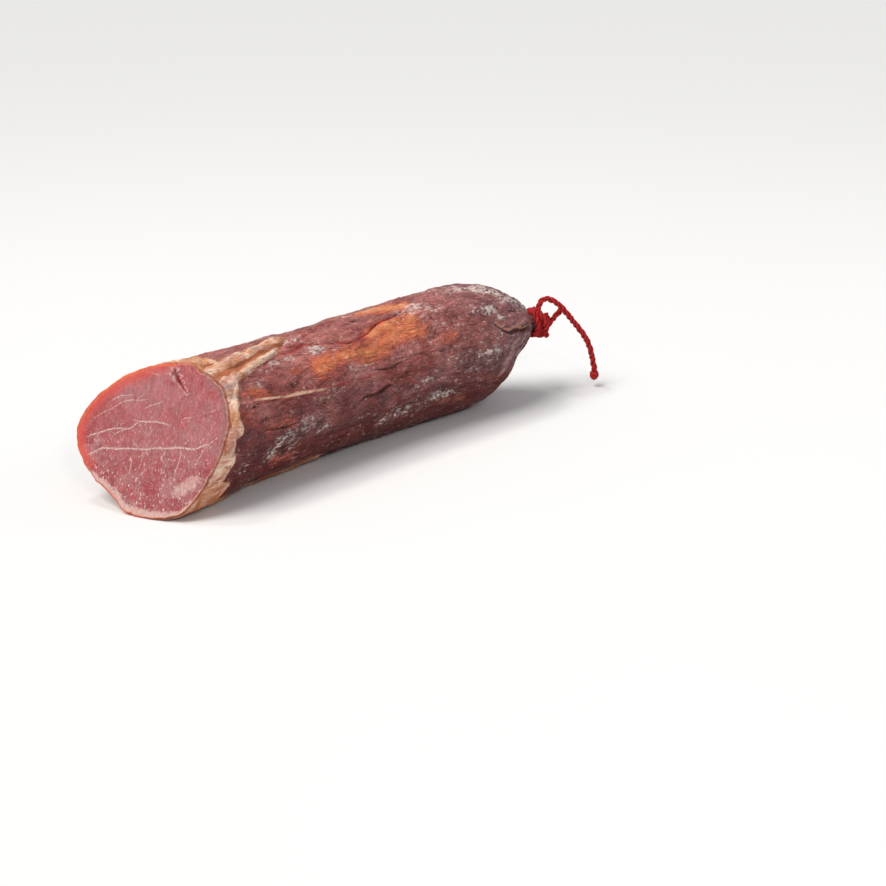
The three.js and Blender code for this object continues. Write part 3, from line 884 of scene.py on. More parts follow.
def storePlaces(mesh, vertices, around, cutFaces, right, up):
    # places on the skin (x, turns) and on the cut (right, up), kept at the face corners
    corners = np.empty(len(mesh.loops), int)
    mesh.loops.foreach_get("vertex_index", corners)
    faceStarts = np.empty(len(mesh.polygons), int)
    mesh.polygons.foreach_get("loop_start", faceStarts)
    loopFace = np.repeat(np.arange(len(mesh.polygons)), np.diff(np.append(faceStarts, len(corners))))
    column = np.where(corners == 0, 0, (corners - 1) % around)
    firstColumn = np.where(loopFace < around, loopFace, (loopFace - around) % around)
    turns = np.where((column == 0) & (firstColumn == around - 1), 1.0, column / around)
    allX = vertices[:, 0]
    isCut = loopFace < cutFaces
    tipFace = corners == len(vertices) - 1
    turns = np.where(tipFace, (firstColumn + 0.5) / around, turns)
    place = np.stack([
        np.where(isCut, right[corners] / 100, allX[corners] / 100),
        np.where(isCut, up[corners] / 100, turns),
        np.where(isCut, 1.0, 0.0),
    ], axis=1)
    storeMask(mesh, "place", place, "FLOAT_VECTOR", "CORNER")
    # flat layout for baking: the skin below, unrolled, and the cut as a disc above it
    cutU, cutV, perMm = 0.15, 0.868, 0.0027
    margin, lowX, lengthX, skinHigh = 0.01, -30, 312, 0.72
    unwrapped = np.stack([
        np.where(isCut, cutU + right[corners] * perMm, margin + (allX[corners] - lowX) / lengthX * 0.98),
        np.where(isCut, cutV + up[corners] * perMm, margin + turns * skinHigh),
    ], axis=1)
    layer = mesh.uv_layers.new(name="OFBake")
    layer.data.foreach_set("uv", unwrapped.astype(np.float32).ravel())


def makeLoin(s, materials):
    around, along = s["around"], s["along"]
    angle = fullTurn * np.arange(around) / around
    cutX, edge, edgeMasks = cutPoint(angle, s)
    facing, right, up = cutAxes(s)
    centre = np.array([0, 0, s["cutHeight"]])
    inward = centre - edge
    inward /= np.linalg.norm(inward, axis=1)[:, None]
    lip = edge + inward * s["rimRound"]
    # rings over the cut, from its middle to its lip
    rings, edgeDistance = [], []
    for i in range(1, s["cutRings"] + 1):
        share = i / s["cutRings"]
        ring = centre + (lip - centre) * share
        rings.append(ring)
        edgeDistance.append(np.linalg.norm(edge - ring, axis=1))
    cutGrid = np.array(rings)
    p, q = (cutGrid - centre) @ right, (cutGrid - centre) @ up
    distance = np.array(edgeDistance)
    narrow = 0.45 + 0.65 * smoothStep(*gashSettings["narrowing"], q)
    gash = pathDistance(p, q, gashSettings["path"]) / narrow
    fibres = 0.10 * waveNoise((p + q) / 1.6 + 30, (q - p) / 9 + 40, 97, 31)
    fibres = fibres + 0.16 * waveNoise(p / 9 + 30, q / 7 + 40, 97, 32)
    gash = gash / (1 + 0.35 * np.sin(q * 1.9 + 1) + 0.2 * np.sin(q * 4.1))
    depth = gashSettings["depth"] * np.exp(-(gash / gashSettings["width"]) ** 2)
    depth = depth * smoothStep(*gashSettings["deepens"], q)
    relief = fibres * smoothStep(0, 3, distance) - depth
    height, away, width = gashSettings["lip"]
    relief = relief + height * np.exp(-((gash - away) / width) ** 2)
    cutGrid = cutGrid + facing * relief[..., None]
    points = [centre[None, :] + facing * 0.05, cutGrid.reshape(-1, 3)]
    # the lip rolls over on to the skin
    start = cutX + s["rimRound"]
    firstSkin, _ = skinPoint(start, angle, s)
    lipRings = []
    for t in (0.45, 0.9):
        fromCut = inward * s["rimRound"] * (1 - math.sin(t))
        lipRings.append(edge + fromCut + (firstSkin - edge) * (1 - math.cos(t)))
    points.append(np.array(lipRings).reshape(-1, 3))
    end = s["neckRootX"] + s["neckLength"]
    rowX = skinRows(start, end, s)
    skin, masks = skinPoint(rowX, np.broadcast_to(angle, rowX.shape), s)
    points.append(skin.reshape(-1, 3))
    tieY, tieZ = axisAt(np.array(end), s)
    points.append(np.array([[end, tieY, tieZ]]))
    vertices = np.vstack(points)
    print("loin points", len(vertices))
    ringCount = s["cutRings"] + len(lipRings) + along
    faces = ringFaces(ringCount, around)
    loin = makeObject("curedLoin", toFrame(vertices), faces, materials[0])
    mesh = loin.data
    mesh.materials.append(materials[1])
    cutFaces = around + (s["cutRings"] - 1) * around
    index = np.zeros(len(faces), int)
    index[:cutFaces] = 1
    mesh.polygons.foreach_set("material_index", index)
    # masks that the materials read
    size = len(vertices)
    cutCount = 1 + s["cutRings"] * around
    skinStart = cutCount + len(lipRings) * around

    def fill(skinValues, cutValue, lipValues=None):
        values = np.full(size, float(cutValue))
        values[skinStart:-1] = skinValues.ravel()
        values[-1] = skinValues[-1].mean()
        for i in range(len(lipRings)):
            place = cutCount + i * around
            values[place:place + around] = skinValues[0] if lipValues is None else lipValues
        return values

    degrees = np.degrees(np.broadcast_to(angle, rowX.shape))
    storeMask(mesh, "fatEdge", fill(masks["fatEdge"], -9, edgeMasks["fatEdge"]))
    storeMask(mesh, "crease", fill(masks["crease"], 0))
    storeMask(mesh, "behind", fill(masks["behind"], 0, edgeMasks["behind"] * 0))
    storeMask(mesh, "paprika", fill(paintPatches(paprikaPatches, rowX, degrees), 0))
    storeMask(mesh, "bloom", fill(paintPatches(bloomPatches, rowX, degrees), 0))
    edgeValues = np.full(size, 0.0)
    edgeValues[0] = 38
    edgeValues[1:cutCount] = distance.ravel()
    storeMask(mesh, "fromEdge", edgeValues)
    gashValues = np.full(size, 30.0)
    gashValues[1:cutCount] = gash.ravel()
    storeMask(mesh, "fromGash", gashValues)
    storePlaces(mesh, vertices, around, cutFaces, (vertices - centre) @ right, (vertices - centre) @ up)
    return loin


def lineMask(first, second, stations, width, fade, scale=1.0):
    # a thin line second = f(first) through stations; scale turns second into mm
    firsts, seconds = np.array(stations, float).T
    low, high = float(firsts.min()), float(firsts.max())
    floor, ceiling = float(seconds.min() - 0.02), float(seconds.max() + 0.02)
    spots = list(zip((firsts - low) / (high - low), (seconds - floor) / (ceiling - floor)))
    height = followCurve(remap(first, low, high, smooth=False), spots)
    height = remap(height, 0, 1, floor, ceiling, smooth=False)
    mask = remap(times(distant(second, height), scale), width * 0.35, width, 1, 0)
    inLow = remap(first, low - fade * 0.2, low + fade)
    inHigh = remap(first, high - fade, high + fade * 0.2, 1, 0)
    return times(mask, times(inLow, inHigh))


# Casing: dried purple-brown skin, with paprika, bloom and the collar of fat
casingColours = {
    "plum": (0.215, 0.042, 0.040), "mauve": (0.315, 0.112, 0.106), "dark": (0.050, 0.009, 0.008),
    "brick": (0.345, 0.066, 0.040), "paprika": (0.700, 0.195, 0.085), "rustRed": (0.455, 0.098, 0.060),
    "bloom": (0.74, 0.63, 0.57), "glossLine": (0.62, 0.45, 0.42), "violet": (0.135, 0.040, 0.050),
    "roseSkin": (0.470, 0.160, 0.138), "under": (0.120, 0.011, 0.006),
    # under is the colour of the painted shade on the underside
    "tan": (0.72, 0.350, 0.190), "cream": (0.92, 0.655, 0.495), "rust": (0.46, 0.140, 0.055),
    "greyFat": (0.46, 0.30, 0.28), "rose": (0.62, 0.27, 0.22), "redLine": (0.38, 0.026, 0.028),
    "paleLine": (0.80, 0.50, 0.35), "rimRed": (0.72, 0.120, 0.050), "rimShadeColour": (0.26, 0.060, 0.035),
    "golden": (0.680, 0.310, 0.120), "domeSkin": (0.192, 0.085, 0.096), "paleStrip": (0.46, 0.25, 0.235),
    "foldTan": (0.60, 0.27, 0.18),
}


# Lines on the casing as stations of (x / 100 mm, turns round the loin)
mmPerTurn = 235.0
casingLines = {
    "streak": [(0.404, 0.415), (0.476, 0.417), (0.544, 0.4215), (0.628, 0.4262), (0.696, 0.4290),
               (0.761, 0.4312), (0.81, 0.4336), (0.882, 0.4370), (0.937, 0.4383)],
    "red": [(0.92, 0.4381), (1.01, 0.4389), (1.16, 0.4400), (1.32, 0.4389), (1.46, 0.4400), (1.55, 0.4369),
            (1.63, 0.4336), (1.73, 0.4253)],
    "redFold": [(0.765, 0.285), (0.79, 0.308), (0.92, 0.317), (1.06, 0.332), (1.17, 0.343), (1.23, 0.348),
                (1.29, 0.341), (1.36, 0.331), (1.44, 0.314), (1.61, 0.299)],
    "redDown": [(0.84, 0.308), (0.88, 0.303), (0.99, 0.280), (1.06, 0.267), (1.17, 0.245)],
    "redBesideCollar": [(0.57, 0.342), (0.65, 0.332), (0.72, 0.324), (0.80, 0.325), (0.91, 0.318)],
    "darkTop": [(1.26, 0.425), (1.36, 0.435), (1.44, 0.438)],
    "darkLow": [(1.12, 0.503), (1.20, 0.493), (1.31, 0.496), (1.40, 0.485), (1.45, 0.495)],
    "darkTie": [(2.24, 0.394), (2.314, 0.4258), (2.363, 0.4383), (2.434, 0.4356), (2.554, 0.453),
                (2.64, 0.447)],
    "darkCollar": [(0.44, 0.483), (0.56, 0.495), (0.635, 0.498), (0.72, 0.490)],
    "tanFold": [(2.24, 0.384), (2.314, 0.4168), (2.363, 0.4283), (2.434, 0.4256), (2.554, 0.443),
                (2.64, 0.437)],
    "tanBranch": [(2.42, 0.4247), (2.48, 0.4156), (2.58, 0.397)],
}
# the pale strip runs round the loin: (turns, x / 100 mm)
paleStripRoute = [(0.450, 2.45), (0.4986, 2.389), (0.524, 2.343), (0.554, 2.314), (0.584, 2.262)]


def makeCasingMaterial(c):
    material, tree, shader = newMaterial("driedCasing")
    where = objectPlace(tree)
    placeX, placeTurn = parted(readMask(tree, "place", "Vector"))[:2]
    fatEdge, crease, behind = readMask(tree, "fatEdge"), readMask(tree, "crease"), readMask(tree, "behind")
    paprika, bloom = readMask(tree, "paprika"), readMask(tree, "bloom")
    streaky = stretched(where, (0.34, 1, 1), (0, 10, 14))
    crossStreaky = stretched(where, (0.42, 1, 1), (0, -24, 34))
    broad = noise(where, 38, 4, 0.55)
    broadOther = noise(stretched(where, (0.6, 1, 1), location=(3, 1, 2)), 55, 5, 0.6)
    streaks = noise(streaky, 260, 5, 0.62, 0.6)
    fineStreaks = noise(streaky, 700, 4, 0.6, 0.4)
    crossStreaks = noise(crossStreaky, 420, 3, 0.6, 0.8)
    speckle = noise(where, 1000, 3, 0.65)
    patches = noise(where, 120, 4, 0.7)
    # ground colours
    skin = blend(remap(broad, 0.38, 0.62), c["plum"], c["mauve"])
    skin = blend(remap(broadOther, 0.46, 0.72, 0, 0.7), skin, c["brick"])
    violet = noise(stretched(where, (0.5, 1, 1), location=(9, 4, 1)), 70, 4, 0.6)
    lowSide = strongest([remap(placeTurn, 0.40, 0.52, 0.25, 1), remap(placeTurn, 0.10, 0.20, 0.9, 0.25)])
    skin = blend(times(remap(violet, 0.44, 0.60, 0, 0.85), lowSide), skin, c["violet"])
    # rosy over the top; painted shade underneath, dark and reddish
    rosy = times(remap(placeTurn, 0.34, 0.50, 1, 0), remap(placeTurn, 0.06, 0.14))
    skin = blend(times(rosy, remap(broad, 0.34, 0.60, 0.35, 0.95)), skin, c["roseSkin"])
    domeShare = times(remap(placeX, 1.80, 2.35), remap(broadOther, 0.38, 0.64, 0.88, 0.45))
    skin = blend(domeShare, skin, c["domeSkin"])
    mottleAndLowShade = remap(patches, 0.36, 0.64, 0.80, 1.18, False)
    # painted shade: the lower half darker
    mottleAndLowShade = times(mottleAndLowShade, remap(placeTurn, 0.43, 0.56, 1.02, 0.80))
    skin = scaled(skin, mottleAndLowShade)
    # painted shade: the underside dark and reddish
    paintedUnderShade = times(remap(placeTurn, 0.49, 0.61), remap(placeTurn, 0.80, 0.92, 1, 0))
    skin = blend(times(paintedUnderShade, 0.80), skin, c["under"])
    # paprika under the casing: red first, orange in the middle of a patch
    torn = noise(streaky, 120, 5, 0.68, 0.6)
    tornFar = noise(crossStreaky, 75, 4, 0.65, 0.8)
    tears = minus(plus(torn, times(tornFar, 0.9)), 0.95)
    spice = plus(paprika, times(tears, 1.7))
    shown = remap(paprika, 0.02, 0.25)
    skin = blend(times(remap(spice, 0.12, 0.60, 0, 0.85), shown), skin, c["rustRed"])
    skin = blend(times(remap(spice, 0.42, 1.0, 0, 0.95), shown), skin, c["paprika"])
    skin = blend(times(remap(spice, 0.85, 1.35, 0, 0.7), shown), skin, c["golden"])
    # fine uneven tone along the wrinkles, partly painted light and shade of the fine wrinkles; dark cracks;
    # and pale ridges painted as glossy highlights
    toneAndWrinkleShade = remap(fineStreaks, 0.36, 0.64, 0.82, 1.18, False)
    toneAndWrinkleShade = times(toneAndWrinkleShade, remap(streaks, 0.36, 0.66, 1.10, 0.86, False))
    toneAndWrinkleShade = times(toneAndWrinkleShade, remap(speckle, 0.34, 0.66, 0.80, 1.18, False))
    skin = scaled(skin, toneAndWrinkleShade)
    longWrinkles = noise(stretched(where, (0.24, 1, 1), (0, 12, 22)), 120, 3, 0.55, 1.2)
    wrinkleLines = strongest([creaseLines(longWrinkles, 0.46, 0.022), creaseLines(longWrinkles, 0.54, 0.018)])
    skin = blend(times(wrinkleLines, 0.26), skin, c["dark"])
    cracked = remap(noise(streaky, 60, 3, 0.6), 0.42, 0.60)
    cracks = times(creaseLines(streaks, 0.50, 0.014), cracked)
    skin = blend(times(cracks, 0.40), skin, c["dark"])
    # painted highlights: glossy pale lines along the ridges, stronger where there is bloom
    ridgeGlossHighlights = times(creaseLines(crossStreaks, 0.47, 0.018), remap(patches, 0.46, 0.62, 0.04, 0.85))
    ridgeGlossHighlights = times(ridgeGlossHighlights, remap(plus(bloom, times(broadOther, 0.7)), 0.25, 0.95))
    skin = blend(times(ridgeGlossHighlights, 0.8), skin, c["glossLine"])
    # painted shade: darker in the creases, the deeper the darker
    skin = blend(remap(crease, 0.40, 1.0, 0, 0.85), skin, c["dark"])
    # white bloom in clouds of specks, then painted glints: fine light specks in the bloom colour
    cloud = plus(noise(where, 150, 5, 0.75), times(bloom, 0.045))
    cloud = remap(cloud, 0.42, 0.62)
    dusty = times(cloud, plus(times(bloom, 1.2), 0.015))
    crumbs = noise(stretched(where, (0.6, 1, 1), (0, 8, 10)), 560, 4, 0.75)
    grain = remap(plus(crumbs, times(bloom, 0.07)), 0.53, 0.61, 0.05, 1)
    dusty = times(dusty, grain, clamp=True)
    skin = blend(times(dusty, 0.9), skin, c["bloom"])
    # painted glints: fine light specks in the bloom colour
    paintedGlints = times(remap(crumbs, 0.58, 0.64), remap(patches, 0.45, 0.58))
    skin = blend(times(paintedGlints, 0.6), skin, c["bloom"])

    # one pale streak of fat under the casing, and thin red lines
    def line(name, width, fade):
        return lineMask(placeX, placeTurn, casingLines[name], width, fade, mmPerTurn)

    wide = times(remap(placeX, 0.56, 0.66), remap(placeX, 0.78, 0.92, 1, 0))
    thick = times(line("streak", 1.2, 0.10), wide)
    streakShape = strongest([line("streak", 0.85, 0.12), thick])
    redHalo = line("streak", 2.6, 0.12)
    skin = blend(times(redHalo, 0.45), skin, c["brick"])
    paleLine = times(streakShape, remap(noise(streaky, 210, 4, 0.65), 0.38, 0.48, 0.2, 1))
    skin = blend(paleLine, skin, c["paleLine"])
    redLines = strongest([
        times(line("red", 1.0, 0.1), remap(torn, 0.40, 0.56, 0.2, 1)),
        line("redFold", 1.25, 0.08), line("redDown", 1.1, 0.1), line("redBesideCollar", 1.1, 0.08),
    ])
    redLines = times(redLines, remap(fineStreaks, 0.36, 0.60, 0.25, 0.85))
    skin = blend(redLines, skin, c["redLine"])
    darkLines = strongest([
        line("darkTop", 0.9, 0.05), line("darkLow", 0.9, 0.05), line("darkTie", 1.0, 0.04),
        line("darkCollar", 0.8, 0.05),
    ])
    skin = blend(times(darkLines, 0.8), skin, c["dark"])
    # the fold beside the tie: tan strands above its dark line, and a pale strip below it
    tanFold = strongest([line("tanFold", 1.5, 0.04), line("tanBranch", 1.2, 0.04)])
    tanFold = times(tanFold, remap(fineStreaks, 0.34, 0.52, 0.55, 1))
    skin = blend(times(tanFold, 0.85), skin, c["foldTan"])
    paleStrip = lineMask(placeTurn, placeX, paleStripRoute, 4.5, 0.02, 100.0)
    paleStrip = times(paleStrip, remap(streaks, 0.36, 0.60, 1, 0.35))
    skin = blend(times(paleStrip, 0.75), skin, c["paleStrip"])
    # fat and rind
    fatBroad = noise(stretched(where, (1, 1, 1), location=(5, 2, 8)), 85, 5, 0.65)
    fatFine = noise(streaky, 330, 4, 0.6, 0.5)
    fatPatchy = noise(stretched(where, (0.5, 1, 1), location=(1, 7, 3)), 110, 4, 0.65)
    fat = blend(remap(fatBroad, 0.40, 0.60), c["tan"], c["cream"])
    fat = blend(remap(fatPatchy, 0.50, 0.64, 0, 0.8), fat, c["rose"])
    greyHere = remap(noise(stretched(where, (1, 1, 1), location=(2, 9, 6)), 70, 4, 0.6), 0.53, 0.66, 0, 0.85)
    fat = blend(greyHere, fat, c["greyFat"])
    fat = blend(remap(fatFine, 0.50, 0.66, 0, 0.60), fat, c["rust"])
    lowFat = times(remap(placeTurn, 0.53, 0.62), remap(placeTurn, 0.74, 0.80, 1, 0))
    fat = blend(times(lowFat, remap(fatPatchy, 0.36, 0.58, 0.4, 0.92)), fat, c["rust"])
    # fine uneven tone, partly painted light and shade of the fine wrinkles
    fat = scaled(fat, remap(fineStreaks, 0.36, 0.64, 0.86, 1.14, False))
    # painted shade in the folds of the fat, in the rust colour
    fat = blend(remap(crease, 0.10, 0.6, 0, 0.9), fat, c["rust"])
    nibbled = times(minus(noise(where, 420, 4, 0.65), 0.5), 2.6)
    wandering = plus(fatEdge, nibbled)
    fatShare = remap(wandering, -0.30, 0.20, 1, 0)
    rustEdge = remap(compute("ABSOLUTE", plus(wandering, 0.2)), 0.1, 1.3, 0.75, 0)
    colour = blend(fatShare, skin, fat)
    colour = blend(times(rustEdge, remap(broad, 0.4, 0.6, 0.25, 1)), colour, c["rust"])
    # where the skin meets the cut: paprika red on the far side, and on the near side painted shade, a thin
    # dark line along the lip
    nearTurn = distant(placeTurn, 0.52)
    farSide = strongest([remap(nearTurn, 0.20, 0.30), remap(placeTurn, 0.68, 0.72)])
    rimShare = times(remap(plus(behind, nibbled), 1.2, 4.5, 0.92, 0), farSide)
    colour = blend(rimShare, colour, c["rimRed"])
    # painted shade: a thin dark line along the lip on the near side
    nearRimShade = times(remap(plus(behind, times(nibbled, 0.3)), 0.15, 0.75, 0.8, 0), minus(1.0, farSide))
    colour = blend(nearRimShade, colour, c["rimShadeColour"])
    plug(shader.inputs["Base Color"], colour)
    rough = remap(streaks, 0.35, 0.65, 0.26, 0.50)
    rough = plus(rough, times(dusty, 0.40))
    rough = plus(rough, times(fatShare, 0.12), True)
    plug(shader.inputs["Roughness"], rough)
    setSockets(shader, {
        "Specular IOR Level": 0.24, "Specular Tint": (1.0, 0.76, 0.70, 1), "Coat Weight": 0.06,
        "Coat Roughness": 0.10, "Subsurface Weight": 0.05, "Subsurface Radius": (0.002, 0.0007, 0.0005),
    })
    raised(shader, [
        (streaks, 0.00085), (minus(1.0, wrinkleLines), 0.00035), (crossStreaks, 0.0006),
        (fineStreaks, 0.0004), (speckle, 0.00020),
    ])
    return material


# Cut face: cured meat with its marbling, the band of fat below and the paprika rim
meatColours = {
    "pink": (0.580, 0.135, 0.142), "mauvePink": (0.610, 0.225, 0.230), "deepPink": (0.470, 0.050, 0.058),
    "fat": (0.970, 0.520, 0.440), "vein": (0.970, 0.740, 0.680), "rim": (0.970, 0.245, 0.065),
    "red": (0.900, 0.115, 0.082), "gash": (0.180, 0.004, 0.006), "greyEdge": (0.330, 0.165, 0.170),
    "cream": (0.880, 0.620, 0.460), "grain": (0.300, 0.028, 0.034), "rimShadeColour": (0.200, 0.030, 0.032),
    "gashRed": (0.480, 0.030, 0.040),
}
# Veins of fat as stations of (right, up) in mm from the middle of the cut: width, then stations
levelVeins = [
    (0.75, ((-41, -6.8), (-31, -2.1), (-22.7, 0.7), (-15.9, 1.5), (-11.4, 4.8), (-9.1, 6.3), (-3.9, 6.7),
            (1.1, 7.2), (8, 6.3))),
    (0.50, ((-24.3, -4.2), (-22.9, -2.2), (-15.9, 1.5))),
    (0.50, ((-14.8, 6.9), (-12, 6.2), (-8.6, 6.2))),
    (0.80, ((-38.5, -16.4), (-33.6, -13.5), (-28.1, -10.7), (-21.1, -10.1), (-13.5, -9), (-4.1, -8.1),
            (4.2, -6.4), (10.9, -5.4), (17.4, -4.3), (23.4, -4.2), (28.1, -2.4), (33.4, 0.2))),
    (0.50, ((-12.4, -3), (-9.8, -6.2), (-6.4, -8.2))),
    (0.60, ((-9, 12.4), (-7.3, 13.8), (-4.2, 15.8), (-0.3, 17.4), (1.6, 19.6))),
    (0.45, ((-37.1, 5.2), (-32.4, 8.2), (-27.7, 11.1), (-21.7, 15.4), (-17.6, 16.7), (-13.3, 17.1),
            (-8, 18.3))),
    (0.45, ((-13.4, 31.6), (-9.8, 32.8), (-5.3, 32.2), (-3.1, 35))),
    (0.45, ((29.1, 16.3), (32.2, 17.5), (33.8, 18.9))),
    (0.40, ((14.3, 10.2), (17, 11.6), (20.7, 12.2))),
    (0.50, ((-14.6, 17), (-12, 19.6), (-10.4, 22.4))),
    (0.45, ((-30, 14.5), (-24, 18), (-17, 19.6))),
    (0.50, ((12.4, 22.9), (14, 23.6), (16.4, 23.9))),
]
steepVeins = [
    (0.55, ((-11.8, -0.7), (-10.4, -1.4), (-8, -4.2))),
    (0.60, ((-16.2, 12.4), (-13.5, 8.9), (-11.1, 7), (-8.6, 8.3), (-5.7, 8.5))),
    (0.50, ((-19.4, 16.4), (-15.4, 16.9), (-9.8, 17.8), (-4.4, 16.6))),
    (0.70, ((29.9, 5.6), (32.3, 4.5), (35, 4.7), (38.2, 7))),
    (0.45, ((-14.2, 27.4), (-8.4, 28.6), (-1.8, 32.2), (5.1, 38.5))),
    (0.40, ((-20, -6.4), (-15, -4.2), (-9.4, -5))),
    (0.40, ((-24, -12.5), (-18, -10), (-12.4, -14))),
]
fatBand = [(-180, 0.0), (-152, 0.2), (-142, 3.0), (-128, 4.4), (-112, 4.8), (-96, 4.6), (-84, 5.0),
           (-74, 4.6), (-62, 3.4), (-50, 2.4), (-38, 1.2), (-20, 0.9), (0, 0.7), (20, 0.0), (180, 0.0)]


def makeMeatMaterial(c):
    material, tree, shader = newMaterial("curedMeat")
    where = objectPlace(tree)
    place = readMask(tree, "place", "Vector")
    fromEdge, fromGash = readMask(tree, "fromEdge"), readMask(tree, "fromGash")
    # gentle wander, so that no line is a ruled one
    wander = noise(place, 55, 4, 0.65, kind="Color")
    shift = tree.nodes.new("ShaderNodeVectorMath")
    shift.operation = "MULTIPLY_ADD"
    plug(shift.inputs[0], wander)
    shift.inputs[1].default_value = (0.016, 0.016, 0)
    plug(shift.inputs[2], place)
    moved = shift.outputs[0]
    right, up = [minus(times(part, 100), 0.8) for part in parted(moved)[:2]]
    # fibres run down to the right; coarse muscle patches over them
    fibres = noise(stretched(place, (1, 0.2, 1), (0, 0, 42)), 190, 5, 0.7, 0.6)
    otherFibres = noise(stretched(place, (1, 0.2, 1), (0, 0, -20)), 230, 4, 0.6, 0.7)
    pores = noise(place, 420, 3, 0.7)
    broad = noise(place, 5.5, 4, 0.6)
    lower = remap(up, -26, 8, 1, 0)
    colour = blend(remap(broad, 0.40, 0.60), c["pink"], c["mauvePink"])
    lowLeftness = remap(plus(right, times(up, 0.8)), -48, -12, 1, 0.15)
    deepness = strongest([remap(lower, 0, 1, 0.15, 0.85), lowLeftness])
    deep = times(deepness, remap(noise(place, 10, 5, 0.7), 0.40, 0.56))
    colour = blend(times(deep, 0.8), colour, c["deepPink"])
    colour = blend(remap(fibres, 0.47, 0.64, 0, 0.60), colour, c["grain"])
    colour = blend(remap(otherFibres, 0.54, 0.68, 0, 0.26), colour, c["vein"])
    muscle = noise(stretched(place, (1, 0.4, 1), (0, 0, 35)), 26, 5, 0.7, 0.5)
    colour = scaled(colour, remap(muscle, 0.36, 0.64, 1.15, 0.86, False))
    colour = scaled(colour, remap(pores, 0.36, 0.64, 0.78, 1.20, False))
    # marbling: named veins broken up, a web of branches, and flecks that thicken downwards
    veins = [lineMask(right, up, stations, width * 0.88, 2.2) for width, stations in levelVeins]
    veins += [lineMask(up, right, stations, width * 0.85, 2.2) for width, stations in steepVeins]
    broken = remap(noise(place, 110, 4, 0.7), 0.39, 0.55, 0.12, 1)
    marbling = times(strongest(veins), broken)
    web = remap(cells(moved, 17, "DISTANCE_TO_EDGE"), 0.006, 0.026, 1, 0)
    web = times(web, remap(noise(place, 30, 4, 0.65), 0.46, 0.58))
    web = times(web, broken, remap(up, -34, 24, 1.0, 0.3))
    fineWeb = remap(cells(moved, 40, "DISTANCE_TO_EDGE"), 0.006, 0.026, 1, 0)
    webPlace = stretched(place, (1, 1, 1), location=(4, 2, 0))
    fineWeb = times(fineWeb, remap(noise(webPlace, 26, 4, 0.65), 0.48, 0.60))
    fineWeb = times(fineWeb, remap(up, -30, 10, 0.85, 0.2))
    fleckPlace = stretched(moved, (1, 0.45, 1), (0, 0, 28))
    flecks = remap(cells(fleckPlace, 58), 0.15, 0.24, 1, 0)
    flecks = times(flecks, remap(noise(place, 34, 3, 0.6), 0.34, 0.48))
    otherFlecks = remap(cells(stretched(place, (1, 0.5, 1), (0, 0, -35)), 105), 0.11, 0.20, 1, 0)
    otherFlecks = times(otherFlecks, remap(noise(place, 22, 3, 0.6), 0.38, 0.52))
    flecks = times(strongest([flecks, otherFlecks]), remap(up, -30, 22, 1, 0.22))
    marbling = strongest([marbling, times(web, 0.85), fineWeb, flecks])
    colour = blend(times(marbling, 0.95), colour, c["vein"])
    # band of fat round the lower edge, wider on the left below
    bearing = times(compute("ARCTAN2", up, right), 180 / math.pi)
    spots = [((angle + 180) / 360, width / 6) for angle, width in fatBand]
    bandWidth = times(followCurve(remap(bearing, -180, 180, smooth=False), spots), 6)
    ragged = times(minus(noise(place, 40, 5, 0.7), 0.5), 6.0)
    bandEdge = minus(plus(fromEdge, ragged), bandWidth)
    band = remap(bandEdge, -1.3, 1.1, 1, 0)
    frayedRight = plus(right, times(ragged, 0.8))
    patchP, patchQ = minus(frayedRight, 24.5), plus(up, 23.8)
    patchLong = plus(times(patchP, 0.75), times(patchQ, 0.66))
    patchWide = minus(times(patchQ, 0.75), times(patchP, 0.66))
    reachLong, reachWide = compute("DIVIDE", patchLong, 9.0), compute("DIVIDE", patchWide, 3.6)
    reach = plus(compute("POWER", reachLong, 2.0), compute("POWER", reachWide, 2.0))
    reach = plus(reach, times(ragged, 0.62))
    fatPatch = times(remap(reach, 0.2, 1.6, 0.9, 0), remap(otherFibres, 0.36, 0.56, 0.35, 1))
    fatMask = strongest([band, fatPatch])
    fatColour = blend(remap(noise(place, 60, 5, 0.7), 0.38, 0.62), c["fat"], c["vein"])
    fatColour = scaled(fatColour, remap(fibres, 0.35, 0.65, 1.08, 0.84, False))
    colour = blend(times(fatMask, 0.9), colour, fatColour)
    # paprika rim: orange at the skin, then red, strongest on the left
    leftness = remap(plus(times(right, -1), times(up, 0.45)), -8, 34)
    lowLeft = remap(up, -27, -18)
    frayed = plus(fromEdge, times(ragged, 0.55))
    rimReach = minus(frayed, times(leftness, 3.2))
    redRim = times(remap(rimReach, -1, 6.0, 1, 0), leftness, lowLeft)
    colour = blend(times(redRim, 0.8), colour, c["red"])
    orangeRim = times(remap(rimReach, -3.2, -0.4, 1, 0), leftness, lowLeft)
    colour = blend(times(orangeRim, remap(up, -14, 6, 0.4, 0.95)), colour, c["rim"])
    underRim = times(remap(frayed, 0.5, 2.2, 0.9, 0), remap(up, -25, -31))
    colour = blend(underRim, colour, c["rim"])
    # dried grey skin on the right; beside the collar a thin cream edge, fat with a painted highlight along
    # the rim; and outside it painted shade, a dark line
    rightness = times(remap(right, 20, 34), remap(up, -14, 6))
    grey = times(remap(fromEdge, 1, 6, 1, 0), rightness, remap(fibres, 0.3, 0.6, 0.3, 1))
    colour = blend(times(grey, 0.7), colour, c["greyEdge"])
    nearRight = remap(right, 6, 24)
    # a thin cream line of fat along the rim, partly a painted highlight on the rounded lip
    fatAndRimHighlight = times(remap(frayed, 0.7, 2.0, 1, 0), nearRight)
    colour = blend(times(fatAndRimHighlight, 0.75), colour, c["cream"])
    # painted shade: a dark line just inside the rim on the right
    cutRimShade = times(creaseLines(plus(fromEdge, times(ragged, 0.2)), 2.6, 0.7), nearRight)
    cutRimShade = times(cutRimShade, remap(noise(place, 22, 4, 0.7), 0.50, 0.62, 0, 0.55))
    colour = blend(cutRimShade, colour, c["rimShadeColour"])
